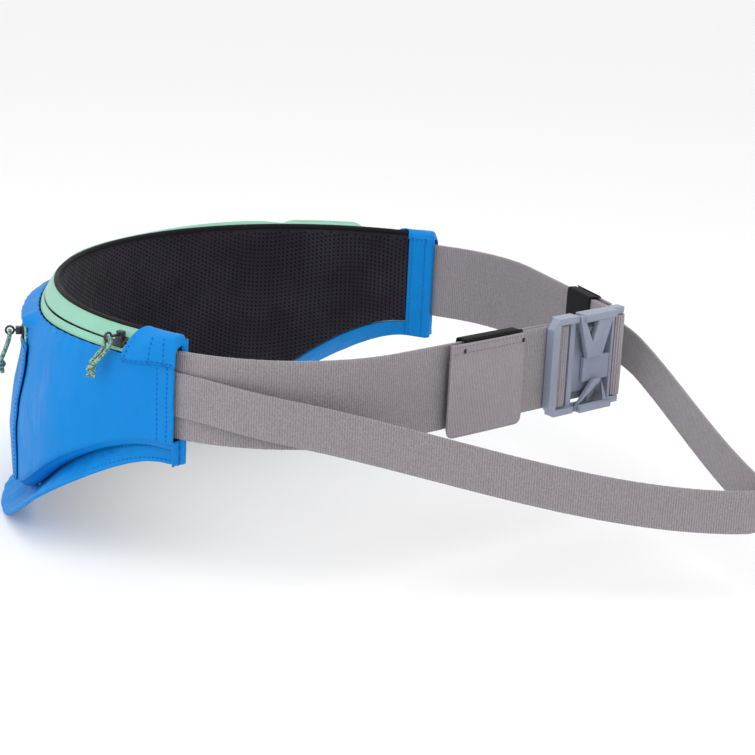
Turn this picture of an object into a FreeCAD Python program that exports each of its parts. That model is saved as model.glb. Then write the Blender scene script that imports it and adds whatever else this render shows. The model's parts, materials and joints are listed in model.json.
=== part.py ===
import FreeCAD, Part
import json
import math
import os
import Sketcher
from FreeCAD import Placement, Rotation, Vector

# Waist pack with a two-inch belt, a side-squeeze buckle and a one-inch front strap.
# +Z is up. The pack's outer face looks along -Y and the buckle is on the +Y side.
# The pack is bent round a vertical axis; angles along it are counted from -Y, positive towards +X.

doc = FreeCAD.newDocument("waist_pack")
sheet = doc.addObject("Spreadsheet::Sheet", "sizes")
parts = []

driving_sizes = {
    # frame: the pack's bending axis, measured from the middle of the overall box
    "axis_x": -2.2,
    "axis_y": -43.2,
    # pack
    "ring_radius": 164.0,
    "zip_line_height": 140.0,
    "wing_angle": 88.0,
    "wing_drop": 73.0,
    "hem_flare_radius": 200.0,
    "hem_height": 17.0,
    "wing_hem_height": 10.0,
    "mesh_thickness": 3.5,
    "foam_thickness": 3.0,
    "lining_thickness": 0.6,
    "shell_thickness": 1.2,
    "gap": 0.3,
    # main zipper
    "zip_tilt": 42.0,
    "zip_inner_width": 10.0,
    "zip_opening": 1.2,
    "zip_outer_width": 4.8,
    "tape_thickness": 0.8,
    "coil_width": 1.7,
    "coil_thickness": 1.3,
    "piping_radius": 1.6,
    "zip_half_angle": 79.0,
    "slider_angle": 76.0,
    "slider_length": 9.0,
    "slider_gap": 0.35,
    "slider_plate": 1.0,
    # pocket zipper
    "pocket_zip_height": 111.0,
    "pocket_zip_radius": 185.0,
    "pocket_tape_width": 5.4,
    "pocket_half_angle": 41.0,
    "pocket_slider_angle": 37.0,
    "pocket_depth": 5.5,
    # webbing
    "belt_width": 50.0,
    "strap_width": 25.0,
    "webbing_thickness": 1.6,
    "belt_bottom": 83.5,
    # buckle
    "buckle_x": -28.0,
    "buckle_y": 154.4,
    "buckle_turn": -23.0,
    "buckle_height": 60.0,
    "buckle_rail": 4.0,
    "bar_radius": 2.5,
    "release_travel": 20.0,
    "catch_travel": 3.0,
    # pull cords
    "cord_diameter": 2.4,
    "knot_radius": 3.6,
}

for row, (alias, value) in enumerate(driving_sizes.items(), start=1):
    sheet.set(f"A{row}", alias)
    sheet.set(f"B{row}", str(value))
    sheet.setAlias(f"B{row}", alias)
doc.recompute()


def size(alias):
    return float(sheet.get(alias))


origin = Vector(size("axis_x"), size("axis_y"), 0)
ring_radius = size("ring_radius")
top = size("zip_line_height")
gap = size("gap")
webbing = size("webbing_thickness")
belt_bottom = size("belt_bottom")
belt_middle = belt_bottom + size("belt_width") / 2


# ---------------------------------------------------------------- helpers

def smooth(value):
    value = max(0.0, min(1.0, value))
    return value * value * (3 - 2 * value)


def radial(angle):
    turn = math.radians(angle)
    return Vector(math.sin(turn), -math.cos(turn), 0)


def spread(low, high, count):
    return [low + (high - low) * step / (count - 1) for step in range(count)]


def keep(feature, label, placement=None):
    """Name a sub-part and put it in the pack's frame."""
    feature.Label = label
    feature.Placement = placement or Placement(origin, Rotation())
    parts.append(feature)
    return feature


def shape_part(label, shape, placement=None):
    """A sub-part whose curved shape is set directly."""
    feature = doc.addObject("Part::Feature", label)
    feature.Shape = shape
    return keep(feature, label, placement)


def origin_plane(body, role):
    return next(item for item in body.Origin.OriginFeatures if item.Role == role)


def add_sketch(body, role, offset=0.0):
    sketch = body.newObject("Sketcher::SketchObject", body.Name + "_sketch")
    sketch.AttachmentSupport = [(origin_plane(body, role), "")]
    sketch.MapMode = "FlatFace"
    sketch.AttachmentOffset = Placement(Vector(0, 0, offset), Rotation())
    return sketch


def draw_outline(sketch, corners):
    """Close a polygon whose corners are pairs of spreadsheet expressions."""
    places = [Vector(sheet.evalExpression(x), sheet.evalExpression(y), 0) for x, y in corners]
    first = sketch.GeometryCount
    for here, there in zip(places, places[1:] + places[:1]):
        sketch.addGeometry(Part.LineSegment(here, there), False)
    for index, (x, y) in enumerate(corners):
        edge = first + index
        before = first + (index - 1) % len(corners)
        sketch.addConstraint(Sketcher.Constraint("Coincident", before, 2, edge, 1))
        for kind, expression, value in (("DistanceX", x, places[index].x), ("DistanceY", y, places[index].y)):
            number = sketch.addConstraint(Sketcher.Constraint(kind, -1, 1, edge, 1, value))
            sketch.setExpression(f"Constraints[{number}]", expression)


def draw_circle(sketch, x, y, radius):
    centre = Vector(sheet.evalExpression(x), sheet.evalExpression(y), 0)
    circle = sketch.addGeometry(Part.Circle(centre, Vector(0, 0, 1), sheet.evalExpression(radius)), False)
    for kind, expression, value in (("DistanceX", x, centre.x), ("DistanceY", y, centre.y)):
        number = sketch.addConstraint(Sketcher.Constraint(kind, -1, 1, circle, 3, value))
        sketch.setExpression(f"Constraints[{number}]", expression)
    number = sketch.addConstraint(Sketcher.Constraint("Radius", circle, sheet.evalExpression(radius)))
    sketch.setExpression(f"Constraints[{number}]", radius)


def boxed(x_low, x_high, y_low, y_high):
    return [(x_low, y_low), (x_high, y_low), (x_high, y_high), (x_low, y_high)]


def pad(body, outlines, thickness, middle):
    """Add a plate drawn in the XZ plane, its middle at the given Y."""
    sketch = add_sketch(body, "XZ_Plane", -middle)
    for corners in outlines:
        draw_outline(sketch, corners)
    feature = body.newObject("PartDesign::Pad", body.Name + "_pad")
    feature.Profile = sketch
    feature.setExpression("Length", thickness)
    feature.Midplane = True
    return feature


def pocket(body, outlines, depth, middle):
    sketch = add_sketch(body, "XZ_Plane", -middle)
    for corners in outlines:
        draw_outline(sketch, corners)
    feature = body.newObject("PartDesign::Pocket", body.Name + "_pocket")
    feature.Profile = sketch
    feature.setExpression("Length", depth)
    feature.Midplane = True
    return feature


def upright_bar(body, x, y, radius, height):
    sketch = add_sketch(body, "XY_Plane")
    draw_circle(sketch, x, y, radius)
    feature = body.newObject("PartDesign::Pad", body.Name + "_bar")
    feature.Profile = sketch
    feature.setExpression("Length", height)
    feature.Midplane = True
    return feature


def round_body(label, outlines, half_angle, middle_angle=0.0, circles=()):
    """Turn a section drawn in the radial plane about the pack's bending axis."""
    body = doc.addObject("PartDesign::Body", label)
    sketch = add_sketch(body, "XZ_Plane")
    for corners in outlines:
        draw_outline(sketch, corners)
    for circle in circles:
        draw_circle(sketch, *circle)
    feature = body.newObject("PartDesign::Revolution", label + "_turn")
    feature.Profile = sketch
    feature.ReferenceAxis = (sketch, ["V_Axis"])
    feature.setExpression("Angle", f"2 * ({half_angle})")
    feature.Midplane = True
    return keep(body, label, Placement(origin, Rotation(Vector(0, 0, 1), middle_angle - 90)))


def section_wire(angle, corners):
    """A closed polygon of (radius, height) corners in the radial plane at an angle."""
    outward = radial(angle)
    return Part.makePolygon([outward * r + Vector(0, 0, z) for r, z in corners + corners[:1]])


def round_shell(label, section, angles):
    """Loft one panel through its sections along the pack."""
    return shape_part(label, Part.makeLoft([section_wire(angle, section(angle)) for angle in angles], True, True))


class Route:
    """A plan line of straight runs joined by tangent arcs."""

    def __init__(self, start, corners, end):
        self.pieces = []
        here = Vector(*start, 0)
        stops = [Vector(x, y, 0) for x, y, _ in corners] + [Vector(*end, 0)]
        for index, (x, y, radius) in enumerate(corners):
            corner = Vector(x, y, 0)
            back = (here - corner).normalize()
            ahead = (stops[index + 1] - corner).normalize()
            half = back.getAngle(ahead) / 2
            arc_start = corner + back * (radius / math.tan(half))
            arc_end = corner + ahead * (radius / math.tan(half))
            centre = corner + (back + ahead).normalize() * (radius / math.sin(half))
            self.add_run(here, arc_start)
            self.pieces.append(("arc", arc_start, arc_end, centre, radius))
            here = arc_end
        self.add_run(here, stops[-1])

    def add_run(self, start, end):
        if start.distanceToPoint(end) > 1e-6:
            self.pieces.append(("run", start, end, None, 0.0))

    def side(self, piece, offset):
        """One edge of the band, offset to the left of travel."""
        kind, start, end, centre, radius = piece
        if kind == "run":
            left = Vector(0, 0, 1).cross((end - start).normalize()) * offset
            return Part.LineSegment(start + left, end + left).toShape()
        inward = (centre - start).normalize()
        middle = centre + ((start + end) / 2 - centre).normalize() * radius
        turning_left = Vector(0, 0, 1).cross(middle - start).dot(inward) > 0
        new_radius = radius - offset if turning_left else radius + offset
        moved = [centre + (point - centre).normalize() * new_radius for point in (start, middle, end)]
        return Part.Arc(*moved).toShape()

    def band(self, thickness, low, height):
        """The strap that follows the route, standing on edge."""
        solids = []
        for piece in self.pieces:
            left = self.side(piece, thickness / 2)
            right = self.side(piece, -thickness / 2)
            caps = [Part.LineSegment(left.Vertexes[i].Point, right.Vertexes[i].Point).toShape() for i in (0, -1)]
            outline = Part.Wire(Part.__sortEdges__([left, caps[1], right, caps[0]]))
            face = Part.Face(outline)
            face.translate(Vector(0, 0, low))
            solids.append(face.extrude(Vector(0, 0, height)))
        return solids[0].multiFuse(solids[1:]).removeSplitter()

    def stations(self, step):
        """(distance, point, heading) along the route, closer together on arcs."""
        found = []
        travelled = 0.0
        for kind, start, end, centre, radius in self.pieces:
            if kind == "run":
                length = start.distanceToPoint(end)
                count = max(2, round(length / step) + 1)
                heading = (end - start).normalize()
                for part in spread(0, 1, count)[:-1]:
                    found.append((travelled + part * length, start + (end - start) * part, heading))
            else:
                turn = (start - centre).getAngle(end - centre)
                spin = 1 if (start - centre).cross(end - centre).z > 0 else -1
                length = turn * radius
                count = max(3, round(math.degrees(turn) / 12) + 1, round(length / step) + 1)
                for part in spread(0, 1, count)[:-1]:
                    arm = Rotation(Vector(0, 0, 1), spin * math.degrees(turn) * part).multVec(start - centre)
                    heading = Vector(0, 0, 1).cross(arm).normalize() * spin
                    found.append((travelled + part * length, centre + arm, heading))
            travelled += length
        last = self.pieces[-1]
        found.append((travelled, last[2], (last[2] - last[1]).normalize()))
        return found


# ---------------------------------------------------------------- shape of the pack

wing_angle = size("wing_angle")


def bulk(angle, reach=28.0):
    """1 over the pack's middle, fading to 0 at the wing ends."""
    return smooth((wing_angle - 2 - abs(angle)) / reach)


def hem_low(angle):
    rise = top - size("wing_drop")
    return rise * smooth((abs(angle) - 38) / 46)


def hem_radius(angle):
    return ring_radius + 4 + (size("hem_flare_radius") - ring_radius - 4) * bulk(angle)


def hem_top(angle):
    height = size("wing_hem_height")
    return hem_low(angle) + height + (size("hem_height") - height) * bulk(angle)


def back_radius(angle, height):
    """Inner face of the mesh: leans out a little towards the hem."""
    depth = (top - height) / (top - hem_top(angle))
    return ring_radius + 12 * bulk(angle) * depth


def band_edge():
    """Outer edge of the zipper band."""
    width = size("zip_inner_width") + size("zip_opening") + size("zip_outer_width")
    tilt = math.radians(size("zip_tilt"))
    start = ring_radius + 2 * size("piping_radius") + gap
    return start + width * math.cos(tilt), top - width * math.sin(tilt)


wing_radius = ring_radius + size("mesh_thickness") + 2 * webbing + 8 * gap + size("shell_thickness")


def front_point(angle, depth):
    """Outer face of the front panel; depth runs from 0 at its top to 1 at its lower edge."""
    edge_radius, edge_height = band_edge()
    beside_zip = smooth((wing_angle - 2 - abs(angle)) / 7)
    top_radius = wing_radius + (edge_radius + 1.6 - wing_radius) * beside_zip
    top_height = top - 0.5 + (edge_height - 0.5 - top) * beside_zip
    low_radius = wing_radius + (size("hem_flare_radius") - 10 - wing_radius) * bulk(angle)
    low_height = hem_top(angle) + 4
    swell = 3 * bulk(angle) * math.sin(math.pi * depth) ** 2
    return (top_radius + (low_radius - top_radius) * depth + swell,
            top_height + (low_height - top_height) * depth)


def sheet_between(inner, outer):
    return inner + outer[::-1]


def layer(first, second, low, high):
    """Section of a flat layer of the back panel, from one depth behind its face to another."""
    def section(angle):
        heights = spread(low(angle), high, 3)
        inner = [(back_radius(angle, z) + first, z) for z in heights]
        outer = [(back_radius(angle, z) + second, z) for z in heights]
        return sheet_between(inner, outer)
    return section


def build_pack():
    mesh = size("mesh_thickness")
    foam_start = mesh + gap
    foam_end = foam_start + size("foam_thickness")
    lining_end = foam_end + gap + size("lining_thickness")
    across = spread(-wing_angle, wing_angle, 45)
    inside = spread(-76, 76, 39)
    round_shell("back_mesh", layer(0, mesh, lambda a: hem_top(a) + gap, top - 2), across)
    round_shell("foam_pad", layer(foam_start, foam_end, lambda a: hem_top(a) + 7, top - 8), inside)
    round_shell("back_lining", layer(foam_end + gap, lining_end, lambda a: hem_top(a) + 7, top - 9), inside)
    round_shell("bottom_hem", hem_section, across)
    round_shell("front_panel", front_section, across)
    round_shell("pocket_panel", pocket_section, spread(-44, 44, 23))
    for label, side in (("wing_facing_near", 1), ("wing_facing_far", -1)):
        round_body(label, [boxed("sizes.ring_radius - 1.1", "sizes.ring_radius - 0.3",
                                 "sizes.zip_line_height - sizes.wing_drop + 1", "sizes.zip_line_height")],
                   "2.6", side * (wing_angle - 2.6))


def hem_section(angle):
    start = back_radius(angle, hem_top(angle)) + 1
    thick = 2.4
    low, high, edge = hem_low(angle), hem_top(angle), hem_radius(angle)
    inner = [(edge - thick, low), (start + (edge - thick - start) * 0.35, low + 9), (start, high)]
    outer = [(edge, low), (start + thick + (edge - thick - start) * 0.35, low + 9), (start + thick, high)]
    return sheet_between(inner, outer)


def front_section(angle):
    thick = size("shell_thickness")
    face = [front_point(angle, depth) for depth in (0, 0.2, 0.4, 0.6, 0.8, 1.0)]
    fold = back_radius(angle, hem_top(angle)) + size("mesh_thickness") + gap
    foot = hem_top(angle) + gap
    outer = [(fold, foot)] + face[::-1]
    inner = [(fold, foot + thick)] + [(r - thick, z + 0.4) for r, z in face[::-1][:1]]
    inner += [(r - thick, z) for r, z in face[::-1][1:]]
    return sheet_between(inner, outer)


def pocket_section(angle):
    """The outer pocket stands off the front panel and closes against it at its sides and foot."""
    thick = 1.0
    sides = smooth((44 - abs(angle)) / 12)
    high = size("pocket_zip_height") - size("pocket_tape_width") - 1.4
    start = (front_point(angle, 0)[1] - high) / (front_point(angle, 0)[1] - front_point(angle, 1)[1])
    face = []
    for step in (0, 0.3, 0.6, 0.85, 1.0):
        depth = start + (1 - start) * step
        r, z = front_point(angle, depth)
        stand = 0.4 + 1.2 * (1 - step) + size("pocket_depth") * sides * math.sin(math.pi * step)
        face.append((r + stand, z))
    inner = face[::-1]
    outer = [(r + thick, z) for r, z in inner]
    return sheet_between(inner, outer)


build_pack()


# ---------------------------------------------------------------- zippers

def tilted(along, above):
    """A corner of the main zipper's section: distance out along the band and above it."""
    start = "sizes.ring_radius + 2 * sizes.piping_radius + sizes.gap"
    return (f"{start} + ({along}) * cos(sizes.zip_tilt * 1deg) + ({above}) * sin(sizes.zip_tilt * 1deg)",
            f"sizes.zip_line_height - ({along}) * sin(sizes.zip_tilt * 1deg) + ({above}) * cos(sizes.zip_tilt * 1deg)")


def tilted_box(low, high, under, over):
    return [tilted(low, under), tilted(high, under), tilted(high, over), tilted(low, over)]


inner_edge = "sizes.zip_inner_width"
outer_edge = "sizes.zip_inner_width + sizes.zip_opening"
band_end = "sizes.zip_inner_width + sizes.zip_opening + sizes.zip_outer_width"
half_tape = "sizes.tape_thickness / 2"
coil_top = "-sizes.tape_thickness / 2 - 0.1"
coil_low = "-sizes.tape_thickness / 2 - 0.1 - sizes.coil_thickness"
zip_middle = size("zip_inner_width") + size("zip_opening") / 2
tilt = math.radians(size("zip_tilt"))
slider_radius = ring_radius + 2 * size("piping_radius") + gap + zip_middle * math.cos(tilt)
slider_height = top - zip_middle * math.sin(tilt)


def slider_outline(place, half_width, top_plate, under_plate, half_post=0.3):
    """An I section: top plate, post between the tapes, and bottom plate."""
    middle = "sizes.zip_inner_width + sizes.zip_opening / 2"
    over = "sizes.tape_thickness / 2 + sizes.slider_gap"
    under = "-sizes.tape_thickness / 2 - 0.1 - sizes.coil_thickness - sizes.slider_gap"
    left, right = f"{middle} - {half_width}", f"{middle} + {half_width}"
    post_left, post_right = f"{middle} - {half_post}", f"{middle} + {half_post}"
    return [place(left, f"{under} - {under_plate}"), place(right, f"{under} - {under_plate}"),
            place(right, under), place(post_right, under), place(post_right, over), place(right, over),
            place(right, f"{over} + {top_plate}"), place(left, f"{over} + {top_plate}"),
            place(left, over), place(post_left, over), place(post_left, under), place(left, under)]


def half_turn(length, radius):
    return math.degrees(length / 2 / radius)


def build_main_zipper():
    reach = "sizes.zip_half_angle"
    round_body("top_piping", [], reach,
               circles=[("sizes.ring_radius + sizes.piping_radius", "sizes.zip_line_height + 0.2",
                         "sizes.piping_radius")])
    round_body("zip_tape_inner", [tilted_box("0", inner_edge, f"-{half_tape}", half_tape)], reach)
    round_body("zip_tape_outer", [tilted_box(outer_edge, band_end, f"-{half_tape}", half_tape)], reach)
    round_body("zip_coil_inner", [tilted_box(f"{inner_edge} - sizes.coil_width", inner_edge, coil_low, coil_top)],
               reach)
    round_body("zip_coil_outer", [tilted_box(outer_edge, f"{outer_edge} + sizes.coil_width", coil_low, coil_top)],
               reach)
    stops = []
    for side in (-1, 1):
        angle = side * (size("zip_half_angle") - 0.7)
        block = Part.makeBox(3.4, 2.4, 1.2, Vector(-1.7, -1.2, 0.6))
        block.Placement = Placement(radial(angle) * slider_radius + Vector(0, 0, slider_height),
                                    Rotation(Vector(0, 0, 1), angle - 90) * Rotation(Vector(0, 1, 0),
                                                                                    size("zip_tilt")))
        stops.append(block)
    shape_part("zip_stops", Part.makeCompound(stops))
    turn = half_turn(size("slider_length"), slider_radius)
    round_body("main_slider", [slider_outline(tilted, "3.6", "sizes.slider_plate", "0.9")], str(turn), size("slider_angle"))


def upright(along, above):
    """A corner of the pocket zipper's section: along runs down the panel, above runs out from it."""
    return (f"sizes.pocket_zip_radius + ({above})",
            f"sizes.pocket_zip_height + sizes.pocket_tape_width + 0.6 - ({along})")


def upright_box(low, high, under, over):
    return [upright(low, under), upright(high, under), upright(high, over), upright(low, over)]


def build_pocket_zipper():
    reach = "sizes.pocket_half_angle"
    width = "sizes.pocket_tape_width"
    second = f"{width} + sizes.zip_opening"
    round_body("pocket_tape_upper", [upright_box("0", width, f"-{half_tape}", half_tape)], reach)
    round_body("pocket_tape_lower", [upright_box(second, f"{second} + {width}", f"-{half_tape}", half_tape)], reach)
    round_body("pocket_coil_upper", [upright_box(f"{width} - 1.4", width, f"-{half_tape} - 0.7", f"-{half_tape} - 0.1")],
               reach)
    round_body("pocket_coil_lower", [upright_box(second, f"{second} + 1.4", f"-{half_tape} - 0.7",
                                                 f"-{half_tape} - 0.1")], reach)
    turn = half_turn(size("slider_length") - 1, size("pocket_zip_radius"))
    body = round_body("pocket_slider", [upright_box(f"{width} - 2.6", f"{second} + 2.6",
                                                    f"{half_tape} + sizes.slider_gap",
                                                    f"{half_tape} + sizes.slider_gap + sizes.slider_plate")],
                      str(turn), size("pocket_slider_angle"))
    return body


build_main_zipper()
build_pocket_zipper()


# ---------------------------------------------------------------- zipper pulls

def rounded_wire(points, radii):
    """Straight runs joined by tangent arcs through a list of 3-D route points."""
    edges = []
    here = points[0]
    for index in range(1, len(points) - 1):
        corner = points[index]
        back = (points[index - 1] - corner).normalize()
        ahead = (points[index + 1] - corner).normalize()
        half = back.getAngle(ahead) / 2
        reach = radii[index - 1] / math.tan(half)
        centre = corner + (back + ahead).normalize() * (radii[index - 1] / math.sin(half))
        start, end = corner + back * reach, corner + ahead * reach
        middle = centre + (corner - centre).normalize() * radii[index - 1]
        if here.distanceToPoint(start) > 1e-6:
            edges.append(Part.LineSegment(here, start).toShape())
        edges.append(Part.Arc(start, middle, end).toShape())
        here = end
    edges.append(Part.LineSegment(here, points[-1]).toShape())
    return Part.Wire(edges)


def bend_radii(points, fold_radius):
    """As gentle a bend at each point as its runs allow, and the given radius at the fold."""
    radii = []
    for before, corner, after in zip(points, points[1:], points[2:]):
        half_turn_angle = (corner - before).getAngle(after - corner) / 2
        shorter = min(corner.distanceToPoint(before), corner.distanceToPoint(after))
        radii.append(min(0.45 * shorter / math.tan(half_turn_angle), 60.0))
    radii[1] = radii[2] = fold_radius
    return radii


def cord_tube(points, fold_radius, diameter, label):
    radii = bend_radii(points, fold_radius)
    spine = rounded_wire(points, radii)
    circle = Part.Wire(Part.Circle(points[0], points[1] - points[0], diameter / 2).toShape())
    tube = spine.makePipeShell([circle], True, False)
    expected = math.pi * diameter ** 2 / 4 * spine.Length
    print(f"{label}: length {spine.Length:.1f} mm, radii {[round(r, 1) for r in radii]}, "
          f"volume ratio {tube.Volume / expected:.4f}")
    return tube


pull_wire = 0.7
eye_radius = 2.4
lug_height = 4.8
pivot_radius = 0.8


def along_x(radius, start, end, height=0.0):
    return Part.makeCylinder(radius, end - start, Vector(start, 0, height), Vector(1, 0, 0))


def build_pull(name, frame, shank, knot_place):
    """Hook with its eye, the doubled cord through the eye, and the knot that ends the cord."""
    cord = size("cord_diameter")
    knot = size("knot_radius")
    eye = shank[1] + eye_radius - 0.3
    ring = Part.makeTorus(eye_radius, pull_wire, Vector(eye, 0, 0), Vector(0, 1, 0))
    shape_part(name + "_hook", ring.fuse(along_x(pivot_radius, *shank)), frame)
    # the cord folds over the eye's lower side, and its two strands come together at the knot
    fold = pull_wire + cord / 2 + 0.2
    crest = fold - eye_radius
    end = knot_place + Vector(eye, 0, 0)
    strand = cord / 2 + 0.1
    rise = Vector(0, 0, knot * 0.8)
    points = [end + rise + Vector(0, strand, 0), Vector(eye + 0.5, fold - 0.6, -7),
              Vector(eye, fold, crest), Vector(eye, -fold, crest),
              Vector(eye + 0.5, -fold - 0.6, -7), end + rise - Vector(0, strand, 0)]
    shape_part(name + "_cord", cord_tube(points, fold - 0.01, cord, name + "_cord"), frame)
    tails = [Part.makeCylinder(cord / 2, 2.4, end + Vector(0, y, -knot * 0.6), Vector(0.2, y * 0.3, -1))
             for y in (-strand, strand)]
    shape_part(name + "_knot", Part.makeSphere(knot, end).multiFuse(tails), frame)


def build_pulls():
    slider_top = size("tape_thickness") / 2 + size("slider_gap") + size("slider_plate")
    slider_axis = origin + radial(size("slider_angle")) * slider_radius
    main_frame = Placement(slider_axis + Vector(0, 0, slider_height + lug_height),
                           Rotation(Vector(0, 0, 1), size("slider_angle") - 90))
    rise = slider_top / math.cos(tilt) - lug_height - 0.06
    slope = 1.5 * math.tan(tilt)
    corners = [Vector(-1.5, -2.2, rise + slope), Vector(1.5, -2.2, rise - slope),
               Vector(1.5, -2.2, 1.9), Vector(-1.5, -2.2, 1.9)]
    block = Part.Face(Part.makePolygon(corners + corners[:1])).extrude(Vector(0, 4.4, 0))
    shape_part("main_slider_bridge", block.cut(along_x(pivot_radius + 0.1, -3, 3)), main_frame)
    build_pull("main_pull", main_frame, (-1.9, 7.6), Vector(4.6, -8, -18.8))

    pocket_angle = size("pocket_slider_angle")
    pocket_axis = origin + radial(pocket_angle) * size("pocket_zip_radius")
    pocket_frame = Placement(pocket_axis + Vector(0, 0, size("pocket_zip_height")),
                             Rotation(Vector(0, 0, 1), pocket_angle - 90))
    block = Part.makeBox(3.6, 4.4, 4.4, Vector(slider_top - 0.05, -2.2, -2.2))
    shape_part("pocket_slider_bridge", block.cut(along_x(pivot_radius + 0.1, 2.2, 6)), pocket_frame)
    build_pull("pocket_pull", pocket_frame, (2.4, 6.6), Vector(5.5, 2, -21))
    return main_frame, pocket_frame


main_pull_frame, pocket_pull_frame = build_pulls()


# ---------------------------------------------------------------- buckle

turn = math.radians(size("buckle_turn"))
buckle_centre = Vector(size("buckle_x"), size("buckle_y"), belt_middle)
buckle_along = Vector(math.cos(turn), math.sin(turn), 0)
buckle_out = Vector(-math.sin(turn), math.cos(turn), 0)
buckle_frame = Placement(origin + buckle_centre, Rotation(Vector(0, 0, 1), size("buckle_turn")))

half_height = "sizes.buckle_height / 2"
rail_low = "sizes.buckle_height / 2 - sizes.buckle_rail"
male_bar_x = 17.0
female_bar_x = -31.8


def build_buckle():
    male = doc.addObject("PartDesign::Body", "buckle_male")
    corner = f"{half_height} - 6"
    outer_bar = [("23.5", f"-({half_height})"), ("24.5", f"-({half_height})"), ("29.5", f"-({corner})"),
                 ("29.5", corner), ("24.5", half_height), ("23.5", half_height)]
    pad(male, [outer_bar], "5.6", 3.0)
    for side in ("", "-"):
        pad(male, [boxed("8", "24", f"{side}({rail_low})", f"{side}({half_height})")], "8", 1.6)
    pad(male, [boxed("8", "12", f"-({rail_low})", rail_low)], "5.4", 0.3)
    pad(male, [boxed("-16", "9", "-19", "19")], "1.9", -1.4)
    upright_bar(male, str(male_bar_x), "0", "sizes.bar_radius", f"2 * ({rail_low}) + 1")
    keep(male, "buckle_male", buckle_frame)

    female = doc.addObject("PartDesign::Body", "buckle_female")
    pad(female, [boxed("-26.5", "5", "-24.6", "24.6")], "2.3", -3.9)
    pad(female, [boxed("-26.5", "-24.6", f"-({half_height})", half_height)], "8", -1.0)
    pad(female, [boxed("-26", "-2", "-13", "2.2")], "2.3", 1.1)
    for side in ("", "-"):
        pad(female, [boxed("-34.3", "-25", f"{side}({rail_low})", f"{side}({half_height})")], "6", 0.0)
    upright_bar(female, str(female_bar_x), "0", "sizes.bar_radius", f"2 * ({rail_low}) + 1")
    keep(female, "buckle_female", buckle_frame)

    upper = {"side": "", "tip": ("-1", "-14", "3"), "window": [("1.5", "25"), ("-9", "25"), ("-5", "12.5")]}
    lower = {"side": "-", "tip": ("-8.5", "-14.5", "11.5"),
             "window": [("-4.5", "25"), ("-16", "25"), ("-10.5", "18.5")]}
    for label, catch in (("upper_catch", upper), ("lower_catch", lower)):
        side = catch["side"]
        near_edge, far_edge, tip = catch["tip"]
        body = doc.addObject("PartDesign::Body", label)
        vee = [("7.4", f"{side}({half_height} - 0.6)"), (near_edge, f"{side}({tip})"),
               (far_edge, f"{side}({tip})"), ("-23", f"{side}({half_height} - 0.6)")]
        pad(body, [vee], "3.4", 4.6)
        pocket(body, [[(x, f"{side}({z})") for x, z in catch["window"]]], "3.6", 4.6)
        pad(body, [boxed("-23.6", "4", f"{side}({rail_low})", f"{side}({half_height} + 0.4)")], "9.6", 3.0)
        keep(body, label, buckle_frame)


build_buckle()


# ---------------------------------------------------------------- webbing

def from_buckle(x, y):
    point = buckle_centre + buckle_along * x + buckle_out * y
    return point.x, point.y


belt_radius = ring_radius + size("mesh_thickness") + gap + webbing / 2
strap_radius = belt_radius + webbing + gap


def wing_start(radius, side):
    """Where a strap is sewn in between the back panel and the front panel."""
    return side * radius, -17.0


def crossing(x, point, heading):
    """Where a line through a point meets the plane X = x."""
    reach = (x - point[0]) / heading.x
    return x, point[1] + heading.y * reach


far_bar = Vector(*from_buckle(female_bar_x, 0), 0)
far_heading = Vector(0.667, 0.745, 0).normalize()
far_side = Vector(far_heading.y, -far_heading.x, 0)
far_reach = 3.7


def from_far_bar(back, inward):
    """A place on the far belt: back from the buckle's bar, and towards the inside of the ring."""
    point = far_bar - far_heading * back + far_side * inward
    return point.x, point.y


def build_webbing():
    fixed_line = from_buckle(58, -3.2)
    near = Route(wing_start(belt_radius, 1),
                 [(*crossing(belt_radius, fixed_line, buckle_along), 108)], fixed_line)
    shape_part("wide_belt_near", near.band(webbing, belt_bottom, size("belt_width")))

    loop_corners = [(22.5, -1.2, 4.0), (20.2, 3.6, 4.0), (male_bar_x - 3.6, 3.6, 3.59),
                    (male_bar_x - 3.6, -3.6, 3.59), (22, -3.6, 6.0), (30, -5.2, 6.0)]
    loop = Route(from_buckle(66, -1.2), [(*from_buckle(x, y), r) for x, y, r in loop_corners],
                 from_buckle(66, -5.2))
    shape_part("belt_loop", loop.band(webbing, belt_bottom, size("belt_width")))

    lead = from_far_bar(40, -far_reach)
    far_corner = crossing(-belt_radius, lead, far_heading)
    far = Route(wing_start(belt_radius, -1),
                [(*far_corner, 100), (*from_far_bar(-far_reach, -far_reach), far_reach - 0.01),
                 (*from_far_bar(-far_reach, far_reach), far_reach - 0.01),
                 (*from_far_bar(6, far_reach), 8), (*from_far_bar(20, -far_reach + 2.0), 8)],
                from_far_bar(58, -far_reach + 2.0))
    shape_part("wide_belt_far", far.band(webbing, belt_bottom, size("belt_width")))

    strap = Route(wing_start(strap_radius, 1),
                  [(strap_radius, 42, 90), (26, 294, 12), (-84, 172, 60), (-173, 45, 90)], wing_start(strap_radius, -1))
    shape_part("narrow_strap", ribbon(strap, webbing, size("strap_width")))


strap_top = 122.0
strap_drop = 54.0
loop_place = 325.0
far_rise = 228.0


def strap_height(distance):
    """Upper edge of the front strap: it sinks to its loose end and climbs again to the far wing."""
    if distance < loop_place:
        return strap_top - strap_drop * smooth(distance / loop_place)
    return strap_top - strap_drop * (1 - smooth((distance - loop_place) / far_rise))


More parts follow.
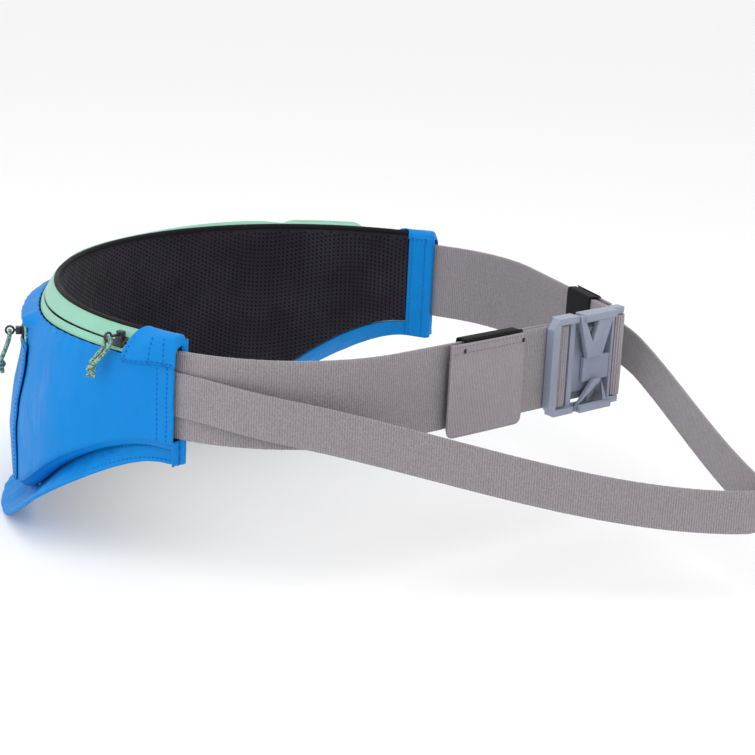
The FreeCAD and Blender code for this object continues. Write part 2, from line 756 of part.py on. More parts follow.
def ribbon(route, thickness, width):
    """A strap on edge whose height changes along its route."""
    places = route.stations(14)
    wires = []
    for index, (distance, point, heading) in enumerate(places):
        side = Vector(0, 0, 1).cross(heading) * (thickness / 2)
        before, after = places[max(index - 1, 0)], places[min(index + 1, len(places) - 1)]
        slope = (strap_height(after[0]) - strap_height(before[0])) / (after[0] - before[0])
        high = strap_height(distance)
        low = high - width * math.sqrt(1 + slope * slope)
        corners = [point + side + Vector(0, 0, low), point + side + Vector(0, 0, high),
                   point - side + Vector(0, 0, high), point - side + Vector(0, 0, low)]
        wires.append(Part.makePolygon(corners + corners[:1]))
    return Part.makeLoft(wires, True, True)


build_webbing()


# ---------------------------------------------------------------- belt keepers

def build_keeper(name, frame, length, inner_low, inner_high):
    """A stitched webbing face over a shorter black elastic band; local X runs along the belt."""
    wall = 1.2
    band_start = 2.5
    band_length = length - 11
    half_belt = size("belt_width") / 2
    opening = Part.makeBox(band_length, inner_high - inner_low, 2 * half_belt + 1.4,
                           Vector(band_start, inner_low, -half_belt - 0.7))
    block = Part.makeBox(band_length, inner_high - inner_low + 2 * wall, 2 * half_belt + 1.4 + 2 * wall,
                         Vector(band_start, inner_low - wall, -half_belt - 0.7 - wall))
    shape_part(name + "_band", block.cut(opening), frame)
    face_start = inner_high + wall + 0.2
    face = Part.makeBox(length, webbing, 2 * half_belt + 5.6, Vector(0, face_start, -half_belt - 5.0))
    low_edges = [edge for edge in face.Edges
                 if abs(edge.CenterOfMass.z + half_belt + 5.0) < 1e-6 and edge.Length < webbing + 0.1]
    shape_part(name + "_face", face.makeFillet(5.0, low_edges), frame)


def build_keepers():
    near = Placement(origin + buckle_centre + buckle_along * 50, buckle_frame.Rotation)
    build_keeper("near_keeper", near, 59.5, -6.5, 0.1)
    start = Vector(*from_far_bar(66, 0), belt_middle)
    angle = math.degrees(math.atan2(far_heading.y, far_heading.x))
    build_keeper("far_keeper", Placement(origin + start, Rotation(Vector(0, 0, 1), angle)), 44.0, 0.4, 5.2)


build_keepers()


# ---------------------------------------------------------------- checks and export

def check_and_export():
    doc.recompute()
    for item in doc.Objects:
        if "Invalid" in item.State or "Error" in item.State:
            raise RuntimeError(f"{item.Name}: {item.State}")
    os.makedirs("parts", exist_ok=True)
    box = FreeCAD.BoundBox()
    for part in parts:
        if part.Shape.isNull() or not part.Shape.isValid() or part.Shape.Volume <= 0:
            raise RuntimeError(f"{part.Label}: empty or invalid shape")
        if not part.Label.endswith(("_cord", "_knot")):
            box.add(part.Shape.BoundBox)
        part.Shape.exportStep(f"parts/{part.Label}.step")
    print(f"{len(parts)} sub-parts, box {box}")


def report_places():
    """Print the joint places in millimetres, for the record."""
    places = {
        "axis": origin,
        "main_slider": origin + radial(size("slider_angle")) * slider_radius + Vector(0, 0, slider_height),
        "main_pivot": main_pull_frame.Base,
        "main_pivot_axis": radial(size("slider_angle")),
        "pocket_pivot": pocket_pull_frame.Base,
        "pocket_pivot_axis": radial(size("pocket_slider_angle")),
        "buckle_centre": origin + buckle_centre,
        "buckle_along": buckle_along,
        "travel": Vector(size("release_travel"), size("catch_travel"), 0),
        "far_heading": far_heading,
        "belt_face": origin + Vector(*from_far_bar(95, -far_reach - webbing / 2), belt_middle),
    }
    print("places " + json.dumps({name: [round(v, 4) for v in place] for name, place in places.items()}))


check_and_export()
report_places()
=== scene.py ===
import json
import math
import bmesh
import bpy
from mathutils import Matrix, Vector, noise


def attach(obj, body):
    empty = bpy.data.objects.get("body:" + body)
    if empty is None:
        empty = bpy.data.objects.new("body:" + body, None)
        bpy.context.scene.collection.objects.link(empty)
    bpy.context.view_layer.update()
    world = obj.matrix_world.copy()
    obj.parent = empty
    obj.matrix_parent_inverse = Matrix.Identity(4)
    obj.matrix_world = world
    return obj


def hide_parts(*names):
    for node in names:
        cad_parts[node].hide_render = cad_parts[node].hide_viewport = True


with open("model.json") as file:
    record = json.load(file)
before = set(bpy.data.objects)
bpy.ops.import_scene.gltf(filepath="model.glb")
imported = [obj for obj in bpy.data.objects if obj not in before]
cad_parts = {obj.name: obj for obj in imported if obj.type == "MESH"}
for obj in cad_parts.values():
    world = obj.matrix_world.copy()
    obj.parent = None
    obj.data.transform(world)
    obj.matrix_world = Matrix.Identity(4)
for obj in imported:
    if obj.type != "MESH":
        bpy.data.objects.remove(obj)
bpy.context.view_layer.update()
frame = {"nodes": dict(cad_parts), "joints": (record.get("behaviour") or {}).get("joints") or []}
print("frame loaded")

# the pack's own plan frame: millimetres from its bending axis, angles from -Y towards +X
packAxis = Vector((-2.2, -43.2, 0.0))
ringRadius = 164.0
packTop = 140.0
wingAngle = 88.0
wingDrop = 73.0


def place(x, y, z):
    # metres in the shared frame from millimetres in the pack's frame
    return (Vector((x, y, z)) + packAxis) / 1000


def polar(angle, radius, height):
    turn = math.radians(angle)
    return place(math.sin(turn) * radius, -math.cos(turn) * radius, height)


def smooth(value):
    value = max(0.0, min(1.0, value))
    return value * value * (3 - 2 * value)


def mix(low, high, share):
    return low + (high - low) * share


def spread(low, high, count):
    return [mix(low, high, step / (count - 1)) for step in range(count)]


def newMaterial(name):
    material = bpy.data.materials.new(name)
    material.use_nodes = True
    material.node_tree.nodes.clear()
    shader = material.node_tree.nodes.new("ShaderNodeBsdfPrincipled")
    output = material.node_tree.nodes.new("ShaderNodeOutputMaterial")
    material.node_tree.links.new(shader.outputs[0], output.inputs[0])
    return material, material.node_tree, shader


def addNode(tree, kind, inputs=None, **settings):
    node = tree.nodes.new(kind)
    for key, value in settings.items():
        setattr(node, key, value)
    for key, value in (inputs or {}).items():
        if isinstance(value, bpy.types.NodeSocket):
            tree.links.new(value, node.inputs[key])
        else:
            node.inputs[key].default_value = value
    return node


def mathNode(tree, operation, first, second=0.0, third=0.0):
    return addNode(tree, "ShaderNodeMath", {0: first, 1: second, 2: third}, operation=operation).outputs[0]


def mixColour(tree, share, first, second, blend="MIX"):
    node = addNode(tree, "ShaderNodeMix", data_type="RGBA", blend_type=blend)
    for key, value in ((0, share), (6, first), (7, second)):
        if isinstance(value, bpy.types.NodeSocket):
            tree.links.new(value, node.inputs[key])
        else:
            node.inputs[key].default_value = value
    return node.outputs[2]


def newGroup(name, inputs, outputs):
    group = bpy.data.node_groups.new(name, "ShaderNodeTree")
    for label, kind, value in inputs:
        socket = group.interface.new_socket(label, in_out="INPUT", socket_type=kind)
        if value is not None:
            socket.default_value = value
    for label, kind in outputs:
        group.interface.new_socket(label, in_out="OUTPUT", socket_type=kind)
    return group, group.nodes.new("NodeGroupInput"), group.nodes.new("NodeGroupOutput")


floatSocket, colourSocket, vectorSocket = "NodeSocketFloat", "NodeSocketColor", "NodeSocketVector"


def buildPlainWeave():
    # two sets of threads on a piece's own UV, in threads per metre; gives height and a thread mask
    group, given, result = newGroup(
        "plainWeave",
        [("Vector", vectorSocket, None), ("Warp", floatSocket, 2500.0), ("Weft", floatSocket, 2500.0)],
        [("Height", floatSocket), ("Gap", floatSocket)])
    parts = addNode(group, "ShaderNodeSeparateXYZ", {0: given.outputs["Vector"]})
    across = mathNode(group, "MULTIPLY", parts.outputs[0], given.outputs["Warp"])
    along = mathNode(group, "MULTIPLY", parts.outputs[1], given.outputs["Weft"])
    waveAcross = mathNode(group, "SINE", mathNode(group, "MULTIPLY", across, math.tau))
    waveAlong = mathNode(group, "SINE", mathNode(group, "MULTIPLY", along, math.tau))
    checker = mathNode(group, "MULTIPLY", waveAcross, waveAlong)
    height = mathNode(group, "MULTIPLY_ADD", checker, 0.5, 0.5)
    group.links.new(height, result.inputs["Height"])
    group.links.new(mathNode(group, "LESS_THAN", height, 0.3), result.inputs["Gap"])
    return group


def buildMottle():
    # slow and fast variation of one colour, as dye and handling leave on cloth
    group, given, result = newGroup(
        "mottle",
        [("Colour", colourSocket, (0.5, 0.5, 0.5, 1)), ("Worn", colourSocket, (0.6, 0.6, 0.6, 1)),
         ("Scale", floatSocket, 60.0), ("Amount", floatSocket, 0.3)],
        [("Colour", colourSocket), ("Mask", floatSocket)])
    spot = addNode(group, "ShaderNodeTexCoord")
    slow = addNode(group, "ShaderNodeTexNoise", {
        "Vector": spot.outputs["Object"], "Scale": given.outputs["Scale"], "Detail": 5.0, "Roughness": 0.6})
    ramp = addNode(group, "ShaderNodeMapRange", {0: slow.outputs[0], 1: 0.35, 2: 0.7})
    amount = mathNode(group, "MULTIPLY", ramp.outputs[0], given.outputs["Amount"])
    group.links.new(mixColour(group, amount, given.outputs["Colour"], given.outputs["Worn"]),
                    result.inputs["Colour"])
    group.links.new(ramp.outputs[0], result.inputs["Mask"])
    return group


def buildScuff():
    # fine scratches and handling marks on a hard surface
    group, given, result = newGroup(
        "scuff", [("Scale", floatSocket, 300.0), ("Low", floatSocket, 0.3), ("High", floatSocket, 0.5)],
        [("Roughness", floatSocket), ("Height", floatSocket)])
    spot = addNode(group, "ShaderNodeTexCoord")
    grain = addNode(group, "ShaderNodeTexNoise", {
        "Vector": spot.outputs["Object"], "Scale": given.outputs["Scale"], "Detail": 6.0})
    group.links.new(mathNode(group, "MULTIPLY_ADD", grain.outputs[0],
                             mathNode(group, "SUBTRACT", given.outputs["High"], given.outputs["Low"]),
                             given.outputs["Low"]), result.inputs["Roughness"])
    group.links.new(grain.outputs[0], result.inputs["Height"])
    return group


plainWeave = buildPlainWeave()
mottle = buildMottle()
scuff = buildScuff()


def useGroup(tree, group, **inputs):
    node = tree.nodes.new("ShaderNodeGroup")
    node.node_tree = group
    for key, value in inputs.items():
        if isinstance(value, bpy.types.NodeSocket):
            tree.links.new(value, node.inputs[key])
        else:
            node.inputs[key].default_value = value
    return node


def bump(tree, shader, height, distance, strength=1.0, under=None):
    inputs = {"Height": height, "Distance": distance, "Strength": strength}
    if under:
        inputs["Normal"] = under
    node = addNode(tree, "ShaderNodeBump", inputs)
    tree.links.new(node.outputs[0], shader.inputs["Normal"])
    return node.outputs[0]


def ownUv(tree):
    return addNode(tree, "ShaderNodeUVMap", uv_map="cloth").outputs[0]


def makeCloth(name, colour, worn, threads, roughness, sheen, weaveDepth, wrinkle, amount=0.4,
              mottleScale=45.0):
    # coated or plain woven cloth: weave from the piece's UV, soft wrinkles, dye variation
    material, tree, shader = newMaterial(name)
    shader.inputs["Sheen Weight"].default_value = sheen
    shader.inputs["Sheen Roughness"].default_value = 0.4
    shader.inputs["Specular IOR Level"].default_value = 0.16
    dye = useGroup(tree, mottle, Colour=colour, Worn=worn, Scale=mottleScale, Amount=amount)
    weave = useGroup(tree, plainWeave, Vector=ownUv(tree), Warp=threads[0], Weft=threads[1])
    dark = mixColour(tree, mathNode(tree, "MULTIPLY", weave.outputs["Gap"], 0.25), dye.outputs["Colour"],
                     (0, 0, 0, 1))
    tree.links.new(dark, shader.inputs["Base Color"])
    tree.links.new(mathNode(tree, "MULTIPLY_ADD", dye.outputs["Mask"], 0.14, roughness - 0.07),
                   shader.inputs["Roughness"])
    spot = addNode(tree, "ShaderNodeTexCoord")
    folds = addNode(tree, "ShaderNodeTexNoise", {
        "Vector": spot.outputs["Object"], "Scale": 55.0, "Detail": 4.0, "Distortion": 0.8})
    first = bump(tree, shader, folds.outputs[0], wrinkle)
    bump(tree, shader, weave.outputs["Height"], weaveDepth, 0.7, first)
    return material


def makeWebbing(name, colour, thread, ribs):
    # ribbed webbing: dashes of weft across the ribs, two shades of yarn, and painted shade in the rib troughs
    # with painted highlight on the rib crests
    material, tree, shader = newMaterial(name)
    shader.inputs["Sheen Weight"].default_value = 0.1
    shader.inputs["Specular IOR Level"].default_value = 0.25
    parts = addNode(tree, "ShaderNodeSeparateXYZ", {0: ownUv(tree)})
    rib = mathNode(tree, "MULTIPLY", parts.outputs[0], ribs)
    row = mathNode(tree, "MULTIPLY", parts.outputs[1], 900.0)
    step = mathNode(tree, "FLOOR", mathNode(tree, "MULTIPLY", rib, 2.0))
    shifted = mathNode(tree, "MULTIPLY_ADD", mathNode(tree, "MODULO", step, 2.0), 0.5, row)
    dash = mathNode(tree, "SINE", mathNode(tree, "MULTIPLY", shifted, math.tau))
    wave = mathNode(tree, "COSINE", mathNode(tree, "MULTIPLY", rib, math.tau))
    height = mathNode(tree, "MULTIPLY_ADD", dash, 0.3, wave)
    spot = addNode(tree, "ShaderNodeTexCoord")
    fleck = addNode(tree, "ShaderNodeTexNoise", {
        "Vector": spot.outputs["Object"], "Scale": 900.0, "Detail": 3.0})
    dye = useGroup(tree, mottle, Colour=colour, Worn=thread, Scale=70.0, Amount=0.12)
    # painted shade and highlight: the yarn colour is darkened in the rib troughs and lightened on the rib
    # crests
    shade = addNode(tree, "ShaderNodeMapRange", {0: height, 1: -1.2, 2: 1.0, 3: 0.55, 4: 1.1})
    lit = mixColour(tree, 1.0, dye.outputs["Colour"], shade.outputs[0], "MULTIPLY")
    mixed = addNode(tree, "ShaderNodeMapRange", {0: fleck.outputs[0], 1: 0.4, 2: 0.65, 3: 0.0, 4: 0.35})
    tree.links.new(mixColour(tree, mixed.outputs[0], lit, thread), shader.inputs["Base Color"])
    tree.links.new(mathNode(tree, "MULTIPLY_ADD", fleck.outputs[0], 0.2, 0.62), shader.inputs["Roughness"])
    bump(tree, shader, height, 0.00025, 0.8)
    return material


def makeHard(name, colour, worn, low, high, metallic=0.0, coat=0.0):
    # moulded plastic or lacquered metal: fine grain, worn lighter in patches
    material, tree, shader = newMaterial(name)
    shader.inputs["Metallic"].default_value = metallic
    shader.inputs["Coat Weight"].default_value = coat
    dye = useGroup(tree, mottle, Colour=colour, Worn=worn, Scale=120.0, Amount=0.45)
    tree.links.new(dye.outputs["Colour"], shader.inputs["Base Color"])
    marks = useGroup(tree, scuff, Scale=2200.0, Low=low, High=high)
    tree.links.new(marks.outputs["Roughness"], shader.inputs["Roughness"])
    bump(tree, shader, marks.outputs["Height"], 0.00002)
    return material


def makeCord(name, colour, fleck):
    # braided cord: diagonal yarns, every few of them in a second colour
    material, tree, shader = newMaterial(name)
    shader.inputs["Sheen Weight"].default_value = 0.2
    spot = addNode(tree, "ShaderNodeTexCoord")
    cells = addNode(tree, "ShaderNodeTexVoronoi", {"Vector": spot.outputs["Object"], "Scale": 1500.0})
    pick = addNode(tree, "ShaderNodeMapRange", {0: cells.outputs["Color"], 1: 0.45, 2: 0.5})
    tree.links.new(mixColour(tree, pick.outputs[0], colour, fleck), shader.inputs["Base Color"])
    tree.links.new(mathNode(tree, "MULTIPLY_ADD", cells.outputs["Distance"], 0.3, 0.6),
                   shader.inputs["Roughness"])
    bump(tree, shader, cells.outputs["Distance"], -0.0003)
    return material


shellCloth = makeCloth("shellCloth", (0.0, 0.215, 0.63, 1), (0.001, 0.255, 0.7, 1), (1700, 1700), 0.55, 0.0,
                       0.00004, 0.0013)
hemCloth = makeCloth("hemCloth", (0.0, 0.23, 0.65, 1), (0.001, 0.28, 0.73, 1), (1700, 1700), 0.55, 0.0,
                     0.00004, 0.0022, mottleScale=90.0)
zipTape = makeCloth("zipTape", (0.25, 0.53, 0.405, 1), (0.33, 0.6, 0.48, 1), (900, 2200), 0.42, 0.05,
                    0.00003, 0.0002)
meshCloth = makeCloth("meshCloth", (0.014, 0.012, 0.019, 1), (0.034, 0.03, 0.042, 1), (1400, 1400), 0.75,
                      0.12, 0.00012, 0.0022, amount=0.8, mottleScale=28.0)
# near-black colour of painted shade for the discs standing in the openings of the spacer mesh
paintedHoleShade = makeCloth("paintedHoleShade", (0.002, 0.002, 0.003, 1), (0.004, 0.004, 0.005, 1), (1400, 1400), 0.9, 0.0,
                      0.00002, 0.0001)
liningCloth = makeCloth("liningCloth", (0.03, 0.03, 0.035, 1), (0.05, 0.05, 0.055, 1), (2500, 2500), 0.8, 0.0,
                        0.00004, 0.0005)
pipingCloth = makeCloth("pipingCloth", (0.004, 0.004, 0.005, 1), (0.008, 0.008, 0.009, 1), (1800, 1800), 0.6,
                        0.0, 0.00003, 0.0002)
elasticCloth = makeCloth("elasticCloth", (0.008, 0.008, 0.009, 1), (0.02, 0.02, 0.022, 1), (600, 1200), 0.9,
                         0.05, 0.0001, 0.0003)
webbingCloth = makeWebbing("webbingCloth", (0.34, 0.313, 0.335, 1), (0.47, 0.43, 0.46, 1), 714.0)
keeperCloth = makeWebbing("keeperCloth", (0.33, 0.3, 0.33, 1), (0.46, 0.42, 0.47, 1), 800.0)
bucklePlastic = makeHard("bucklePlastic", (0.24, 0.27, 0.35, 1), (0.3, 0.33, 0.41, 1), 0.34, 0.5)
sliderMetal = makeHard("sliderMetal", (0.03, 0.03, 0.034, 1), (0.09, 0.09, 0.1, 1), 0.28, 0.42, 0.6, coat=0.2)
coilNylon = makeHard("coilNylon", (0.3, 0.58, 0.46, 1), (0.36, 0.64, 0.52, 1), 0.3, 0.45)
pullCord = makeCord("pullCord", (0.25, 0.47, 0.37, 1), (0.07, 0.13, 0.11, 1))
blueThread = makeCloth("blueThread", (0.0, 0.12, 0.42, 1), (0.001, 0.16, 0.5, 1), (3000, 3000), 0.6, 0.1,
                       0.00002, 0.0001)
greyThread = makeCloth("greyThread", (0.22, 0.2, 0.225, 1), (0.28, 0.26, 0.28, 1), (3000, 3000), 0.7, 0.1,
                       0.00002, 0.0001)
print("materials made")


def keepPiece(piece, body, slotName, *nodes):
    # a finished piece rides with its body and stands for the plain solids of the frame
    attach(piece, body)
    if nodes:
        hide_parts(*nodes)
    return piece


def meshPiece(name, vertices, faces, material, uvs=None, shade=True):
    mesh = bpy.data.meshes.new(name)
    mesh.from_pydata(vertices, [], faces)
    if uvs:
        layer = mesh.uv_layers.new(name="cloth")
        for loop in mesh.loops:
            layer.data[loop.index].uv = uvs[loop.vertex_index]
    mesh.materials.append(material)
    piece = bpy.data.objects.new(name, mesh)
    bpy.context.scene.collection.objects.link(piece)
    if shade:
        mesh.shade_smooth()
    return piece


def clothGrid(name, alongs, acrosses, at, material, distances=None):
    # a sheet through at(along, across); its UV is in metres along the sheet, or along the distances given
    rows = [[at(u, v) for v in acrosses] for u in alongs]
    middle = len(acrosses) // 2
    vertices, uvs = [], []
    travelled = 0.0
    for index, row in enumerate(rows):
        if index:
            travelled += (row[middle] - rows[index - 1][middle]).length
        rise = 0.0
        for step, point in enumerate(row):
            if step:
                rise += (point - row[step - 1]).length
            vertices.append(point)
            uvs.append((distances[index] / 1000 if distances else travelled, rise))
    count = len(acrosses)
    faces = [(i * count + j, (i + 1) * count + j, (i + 1) * count + j + 1, i * count + j + 1)
             for i in range(len(rows) - 1) for j in range(count - 1)]
    return meshPiece(name, vertices, faces, material, uvs)


def addModifier(piece, kind, **settings):
    modifier = piece.modifiers.new(kind.title(), kind)
    for key, value in settings.items():
        setattr(modifier, key, value)
    return modifier


def thicken(piece, thickness, offset=0.0):
    return addModifier(piece, "SOLIDIFY", thickness=thickness, offset=offset, use_even_offset=True)


def applyAll(piece):
    # turn the evaluated piece into plain mesh and drop its modifiers
    evaluated = piece.evaluated_get(bpy.context.evaluated_depsgraph_get())
    mesh = bpy.data.meshes.new_from_object(evaluated)
    mesh.name = piece.name
    piece.modifiers.clear()
    piece.data = mesh
    return piece


def roundedCopy(node, material, width, body, slotName, uvFrame=None, segments=3):
    # a copy of a solid of the frame with its edges rounded over
    source = frame["nodes"][node]
    mesh = source.data.copy()
    mesh.name = node + "Shape"
    work = bmesh.new()
    work.from_mesh(mesh)
    bmesh.ops.remove_doubles(work, verts=work.verts, dist=0.00001)
    bmesh.ops.dissolve_limit(work, angle_limit=0.02, verts=work.verts, edges=work.edges)
    work.to_mesh(mesh)
    work.free()
    mesh.materials.clear()
    mesh.materials.append(material)
    piece = bpy.data.objects.new(node + "Piece", mesh)
    bpy.context.scene.collection.objects.link(piece)
    addModifier(piece, "BEVEL", width=width, segments=segments, limit_method="ANGLE", angle_limit=0.6,
                use_clamp_overlap=True, harden_normals=False)
    applyAll(piece)
    piece.data.shade_smooth()
    piece.data.set_sharp_from_angle(angle=0.75)
    if uvFrame:
        start, along, up = uvFrame
        layer = piece.data.uv_layers.get("cloth") or piece.data.uv_layers.new(name="cloth")
        for loop in piece.data.loops:
            offset = piece.data.vertices[loop.vertex_index].co - start
            layer.data[loop.index].uv = (offset.dot(along), offset.dot(up))
    return keepPiece(piece, body, slotName, node)


geometrySocket, materialSocket = "NodeSocketGeometry", "NodeSocketMaterial"


def newGeometryTree(name, inputs):
    # a Geometry Nodes tree, its two ends, and the identifier of each named input
    tree = bpy.data.node_groups.new(name, "GeometryNodeTree")
    ids = {label: tree.interface.new_socket(label, in_out="INPUT", socket_type=kind).identifier
           for label, kind in inputs}
    tree.interface.new_socket("Geometry", in_out="OUTPUT", socket_type=geometrySocket)
    return tree, tree.nodes.new("NodeGroupInput"), tree.nodes.new("NodeGroupOutput"), ids


def placeCopies(tree, given, result, points, shape, direction):
    # one shape on every point, turned to face a direction, then made real and painted
    turn = addNode(tree, "FunctionNodeAlignRotationToVector", {"Vector": direction}, axis="Z")
    copies = addNode(tree, "GeometryNodeInstanceOnPoints", {
        "Points": points, "Instance": shape, "Rotation": turn.outputs[0], "Scale": given.outputs["Size"]})
    real = addNode(tree, "GeometryNodeRealizeInstances", {0: copies.outputs[0]})
    painted = addNode(tree, "GeometryNodeSetMaterial", {
        0: real.outputs[0], "Material": given.outputs["Material"]})
    tree.links.new(painted.outputs[0], result.inputs[0])


def buildBeadTree():
    # small beads at even steps along lines: stitches and zipper teeth
    tree, given, result, ids = newGeometryTree("beadRow", [
        ("Geometry", geometrySocket), ("Pitch", floatSocket), ("Size", vectorSocket),
        ("Material", materialSocket)])
    curve = addNode(tree, "GeometryNodeMeshToCurve", {"Mesh": given.outputs["Geometry"]})
    even = addNode(tree, "GeometryNodeResampleCurve", {
        "Curve": curve.outputs[0], "Length": given.outputs["Pitch"]}, mode="LENGTH")
    bead = addNode(tree, "GeometryNodeMeshIcoSphere", {"Radius": 0.5, "Subdivisions": 1})
    tangent = addNode(tree, "GeometryNodeInputTangent")
    placeCopies(tree, given, result, even.outputs[0], bead.outputs[0], tangent.outputs[0])
    return tree, ids


def buildDiscTree():
    # a disc on the middle of every face, facing as the face does: painted shade in the openings of the mesh
    tree, given, result, ids = newGeometryTree("discPerFace", [
        ("Geometry", geometrySocket), ("Size", vectorSocket), ("Material", materialSocket)])
    normal = addNode(tree, "GeometryNodeInputNormal")
    kept = addNode(tree, "GeometryNodeCaptureAttribute", {0: given.outputs["Geometry"]}, domain="FACE")
    kept.capture_items.new("VECTOR", "facing")
    tree.links.new(normal.outputs[0], kept.inputs[1])
    centres = addNode(tree, "GeometryNodeMeshToPoints", {"Mesh": kept.outputs[0]}, mode="FACES")
    disc = addNode(tree, "GeometryNodeMeshCircle", {"Radius": 0.5, "Vertices": 7}, fill_type="NGON")
    placeCopies(tree, given, result, centres.outputs[0], disc.outputs[0], kept.outputs[1])
    return tree, ids


beadRow = buildBeadTree()
discPerFace = buildDiscTree()


def applyTree(piece, treeAndIds, **values):
    tree, ids = treeAndIds
    modifier = piece.modifiers.new("Copies", "NODES")
    modifier.node_group = tree
    for label, value in values.items():
        modifier[ids[label]] = value
    return applyAll(piece)


def lineCarrier(name, lines):
    # loose edges through each list of points
    vertices, edges = [], []
    for line in lines:
        first = len(vertices)
        vertices += line
        edges += [(first + i, first + i + 1) for i in range(len(line) - 1)]
    mesh = bpy.data.meshes.new(name)
    mesh.from_pydata(vertices, edges, [])
    piece = bpy.data.objects.new(name, mesh)
    bpy.context.scene.collection.objects.link(piece)
    return piece


def beadLine(name, lines, pitch, size, material):
    row = applyTree(lineCarrier(name, lines), beadRow, Pitch=pitch, Size=size, Material=material)
    row.data.shade_smooth()
    return row


def stitchRow(name, lines, body, slotName, thread, pitch=0.0027, stitch=(0.0006, 0.0006, 0.0019)):
    return keepPiece(beadLine(name, lines, pitch, stitch, thread), body, slotName)


pack = {
    "meshThickness": 3.5,
    "hemHeight": 17.0,
    "wingHemHeight": 10.0,
    "hemFlare": 200.0,
    "zipTilt": 42.0,
    "zipStart": 167.5,
    "zipInner": 10.0,
    "zipGap": 1.2,
    "zipOuter": 4.8,
    "zipHalfAngle": 79.0,
    "tapeThickness": 0.7,
    "wingRadius": 173.2,
    "facingWidth": 5.1,
    "shellThickness": 1.1,
    "belly": 3.0,
    "lowerBelly": 2.2,
    "shoulder": 2.4,
    "wrinkle": 1.2,
}
# the stretch of the front panel behind the pocket's zipper, and the flap over the upper tape
flap = {"low": 98.0, "high": 125.5, "halfAngle": 44.5, "radius": 183.0, "edge": 116.4, "lift": 2.6}


def bulk(angle, reach=28.0):
    return smooth((wingAngle - 2 - abs(angle)) / reach)


def hemLow(angle):
    return (packTop - wingDrop) * smooth((abs(angle) - 38) / 46)


def hemTop(angle):
    return hemLow(angle) + mix(pack["wingHemHeight"], pack["hemHeight"], bulk(angle))


def hemRadius(angle):
    return mix(ringRadius + 4, pack["hemFlare"], bulk(angle))


def backRadius(angle, height):
    return ringRadius + 12 * bulk(angle) * (packTop - height) / (packTop - hemTop(angle))


def flatShare(angle):
    return smooth((-angle - 44) / 12) * smooth((angle + 75) / 7)


def zipTiltAt(angle):
    # the band stands steeper over the pack's near side and lies flat on its far side
    steep = smooth(1 - abs(angle - 32) / 36)
    return math.radians(pack["zipTilt"] - 44 * flatShare(angle) + 20 * steep)


def zipPoint(angle, along, above=0.0):
    lean = zipTiltAt(angle)
    return (pack["zipStart"] + along * math.cos(lean) + above * math.sin(lean),
            packTop - along * math.sin(lean) + above * math.cos(lean))


def ripple(angle, height, scale, seed=0.0):
    # soft, seeded unevenness of sewn cloth, about -1 to 1
    return noise.noise(Vector((angle * scale * 2.9, height * scale, seed)))


def frontPoint(angle, depth):
    # outer face of the front panel from its top seam (0) to its lower crease (1)
    bandWidth = pack["zipInner"] + pack["zipGap"] + pack["zipOuter"]
    edgeRadius, edgeHeight = zipPoint(angle, bandWidth)
    besideZip = smooth((wingAngle - 2 - abs(angle)) / 7)
    topRadius = mix(pack["wingRadius"], edgeRadius + 0.9, besideZip)
    topHeight = mix(packTop - 0.5, edgeHeight - 0.3, besideZip)
    lowRadius = mix(pack["wingRadius"], pack["hemFlare"] - 10, bulk(angle))
    lowHeight = hemTop(angle) + 4
    belly = pack["belly"] * math.sin(math.pi * depth) ** 2
    belly += pack["lowerBelly"] * smooth(depth * 1.5 - 0.3) * (1 - depth ** 6)
    shoulder = pack["shoulder"] * smooth(depth * 9) * smooth(1.6 - depth * 4)
    radius = mix(topRadius, lowRadius, depth) + belly * bulk(angle) + shoulder * bulk(angle, 40)
    height = mix(topHeight, lowHeight, depth)
    besideTape = smooth((height - flap["low"]) / 7) * smooth((flap["high"] - height) / 5)
    besideTape *= smooth((flap["halfAngle"] - abs(angle)) / 4)
    radius = mix(radius, flap["radius"] + flap["lift"] * smooth((height - flap["edge"]) / 1.4), besideTape)
    fade = math.sin(math.pi * min(1, depth * 1.02)) ** 0.5
    radius += pack["wrinkle"] * fade * (ripple(angle, height, 0.035) + 0.5 * ripple(angle, height, 0.09, 4.0))
    # vertical puckers under the top seam
    radius += 0.35 * math.exp(-depth * 9) * math.sin(angle * 1.9 + 3 * ripple(angle, 0, 0.05, 9.0))
    return radius, height


def shellSection(angle, share):
    # front panel section: the face, then the fold back in over the hem
    if share <= 1:
        return frontPoint(angle, share)
    inward = share - 1
    radius, height = frontPoint(angle, 1.0)
    foot = backRadius(angle, hemTop(angle)) + pack["meshThickness"] + 2.0
    return mix(radius, foot, inward), mix(height, hemTop(angle) + 1.0, smooth(inward * 1.6))


def buildShell():
    angles = spread(-wingAngle, wingAngle, 353)
    shares = spread(0, 0.24, 25) + spread(0.275, 1, 20) + [1.06, 1.15, 1.3, 1.5, 1.75, 2.0]
    shell = clothGrid("frontPanel", angles, shares, lambda a, s: polar(a, *shellSection(a, s)), shellCloth)
    thicken(shell, pack["shellThickness"] / 1000, -1.0)
    applyAll(shell)
    keepPiece(shell, "pack", "shell_fabric", "front_panel")


def hemPoint(angle, share):
    # the lower hem from where it is sewn to the back panel (0) down and out to its free edge (1)
    low, high, edge = hemLow(angle), hemTop(angle), hemRadius(angle) - 1.2
    start = backRadius(angle, high) + 2.4
    radius = mix(start, edge, share ** 1.25)
    height = mix(high, low + 0.05, share)
    wave = share * (1 - 0.75 * share ** 4) * bulk(angle)
    radius += wave * (ripple(angle, 0, 0.11, 2.0) * 2.2 + 0.5 * math.sin(angle * 1.7))
    return radius, height


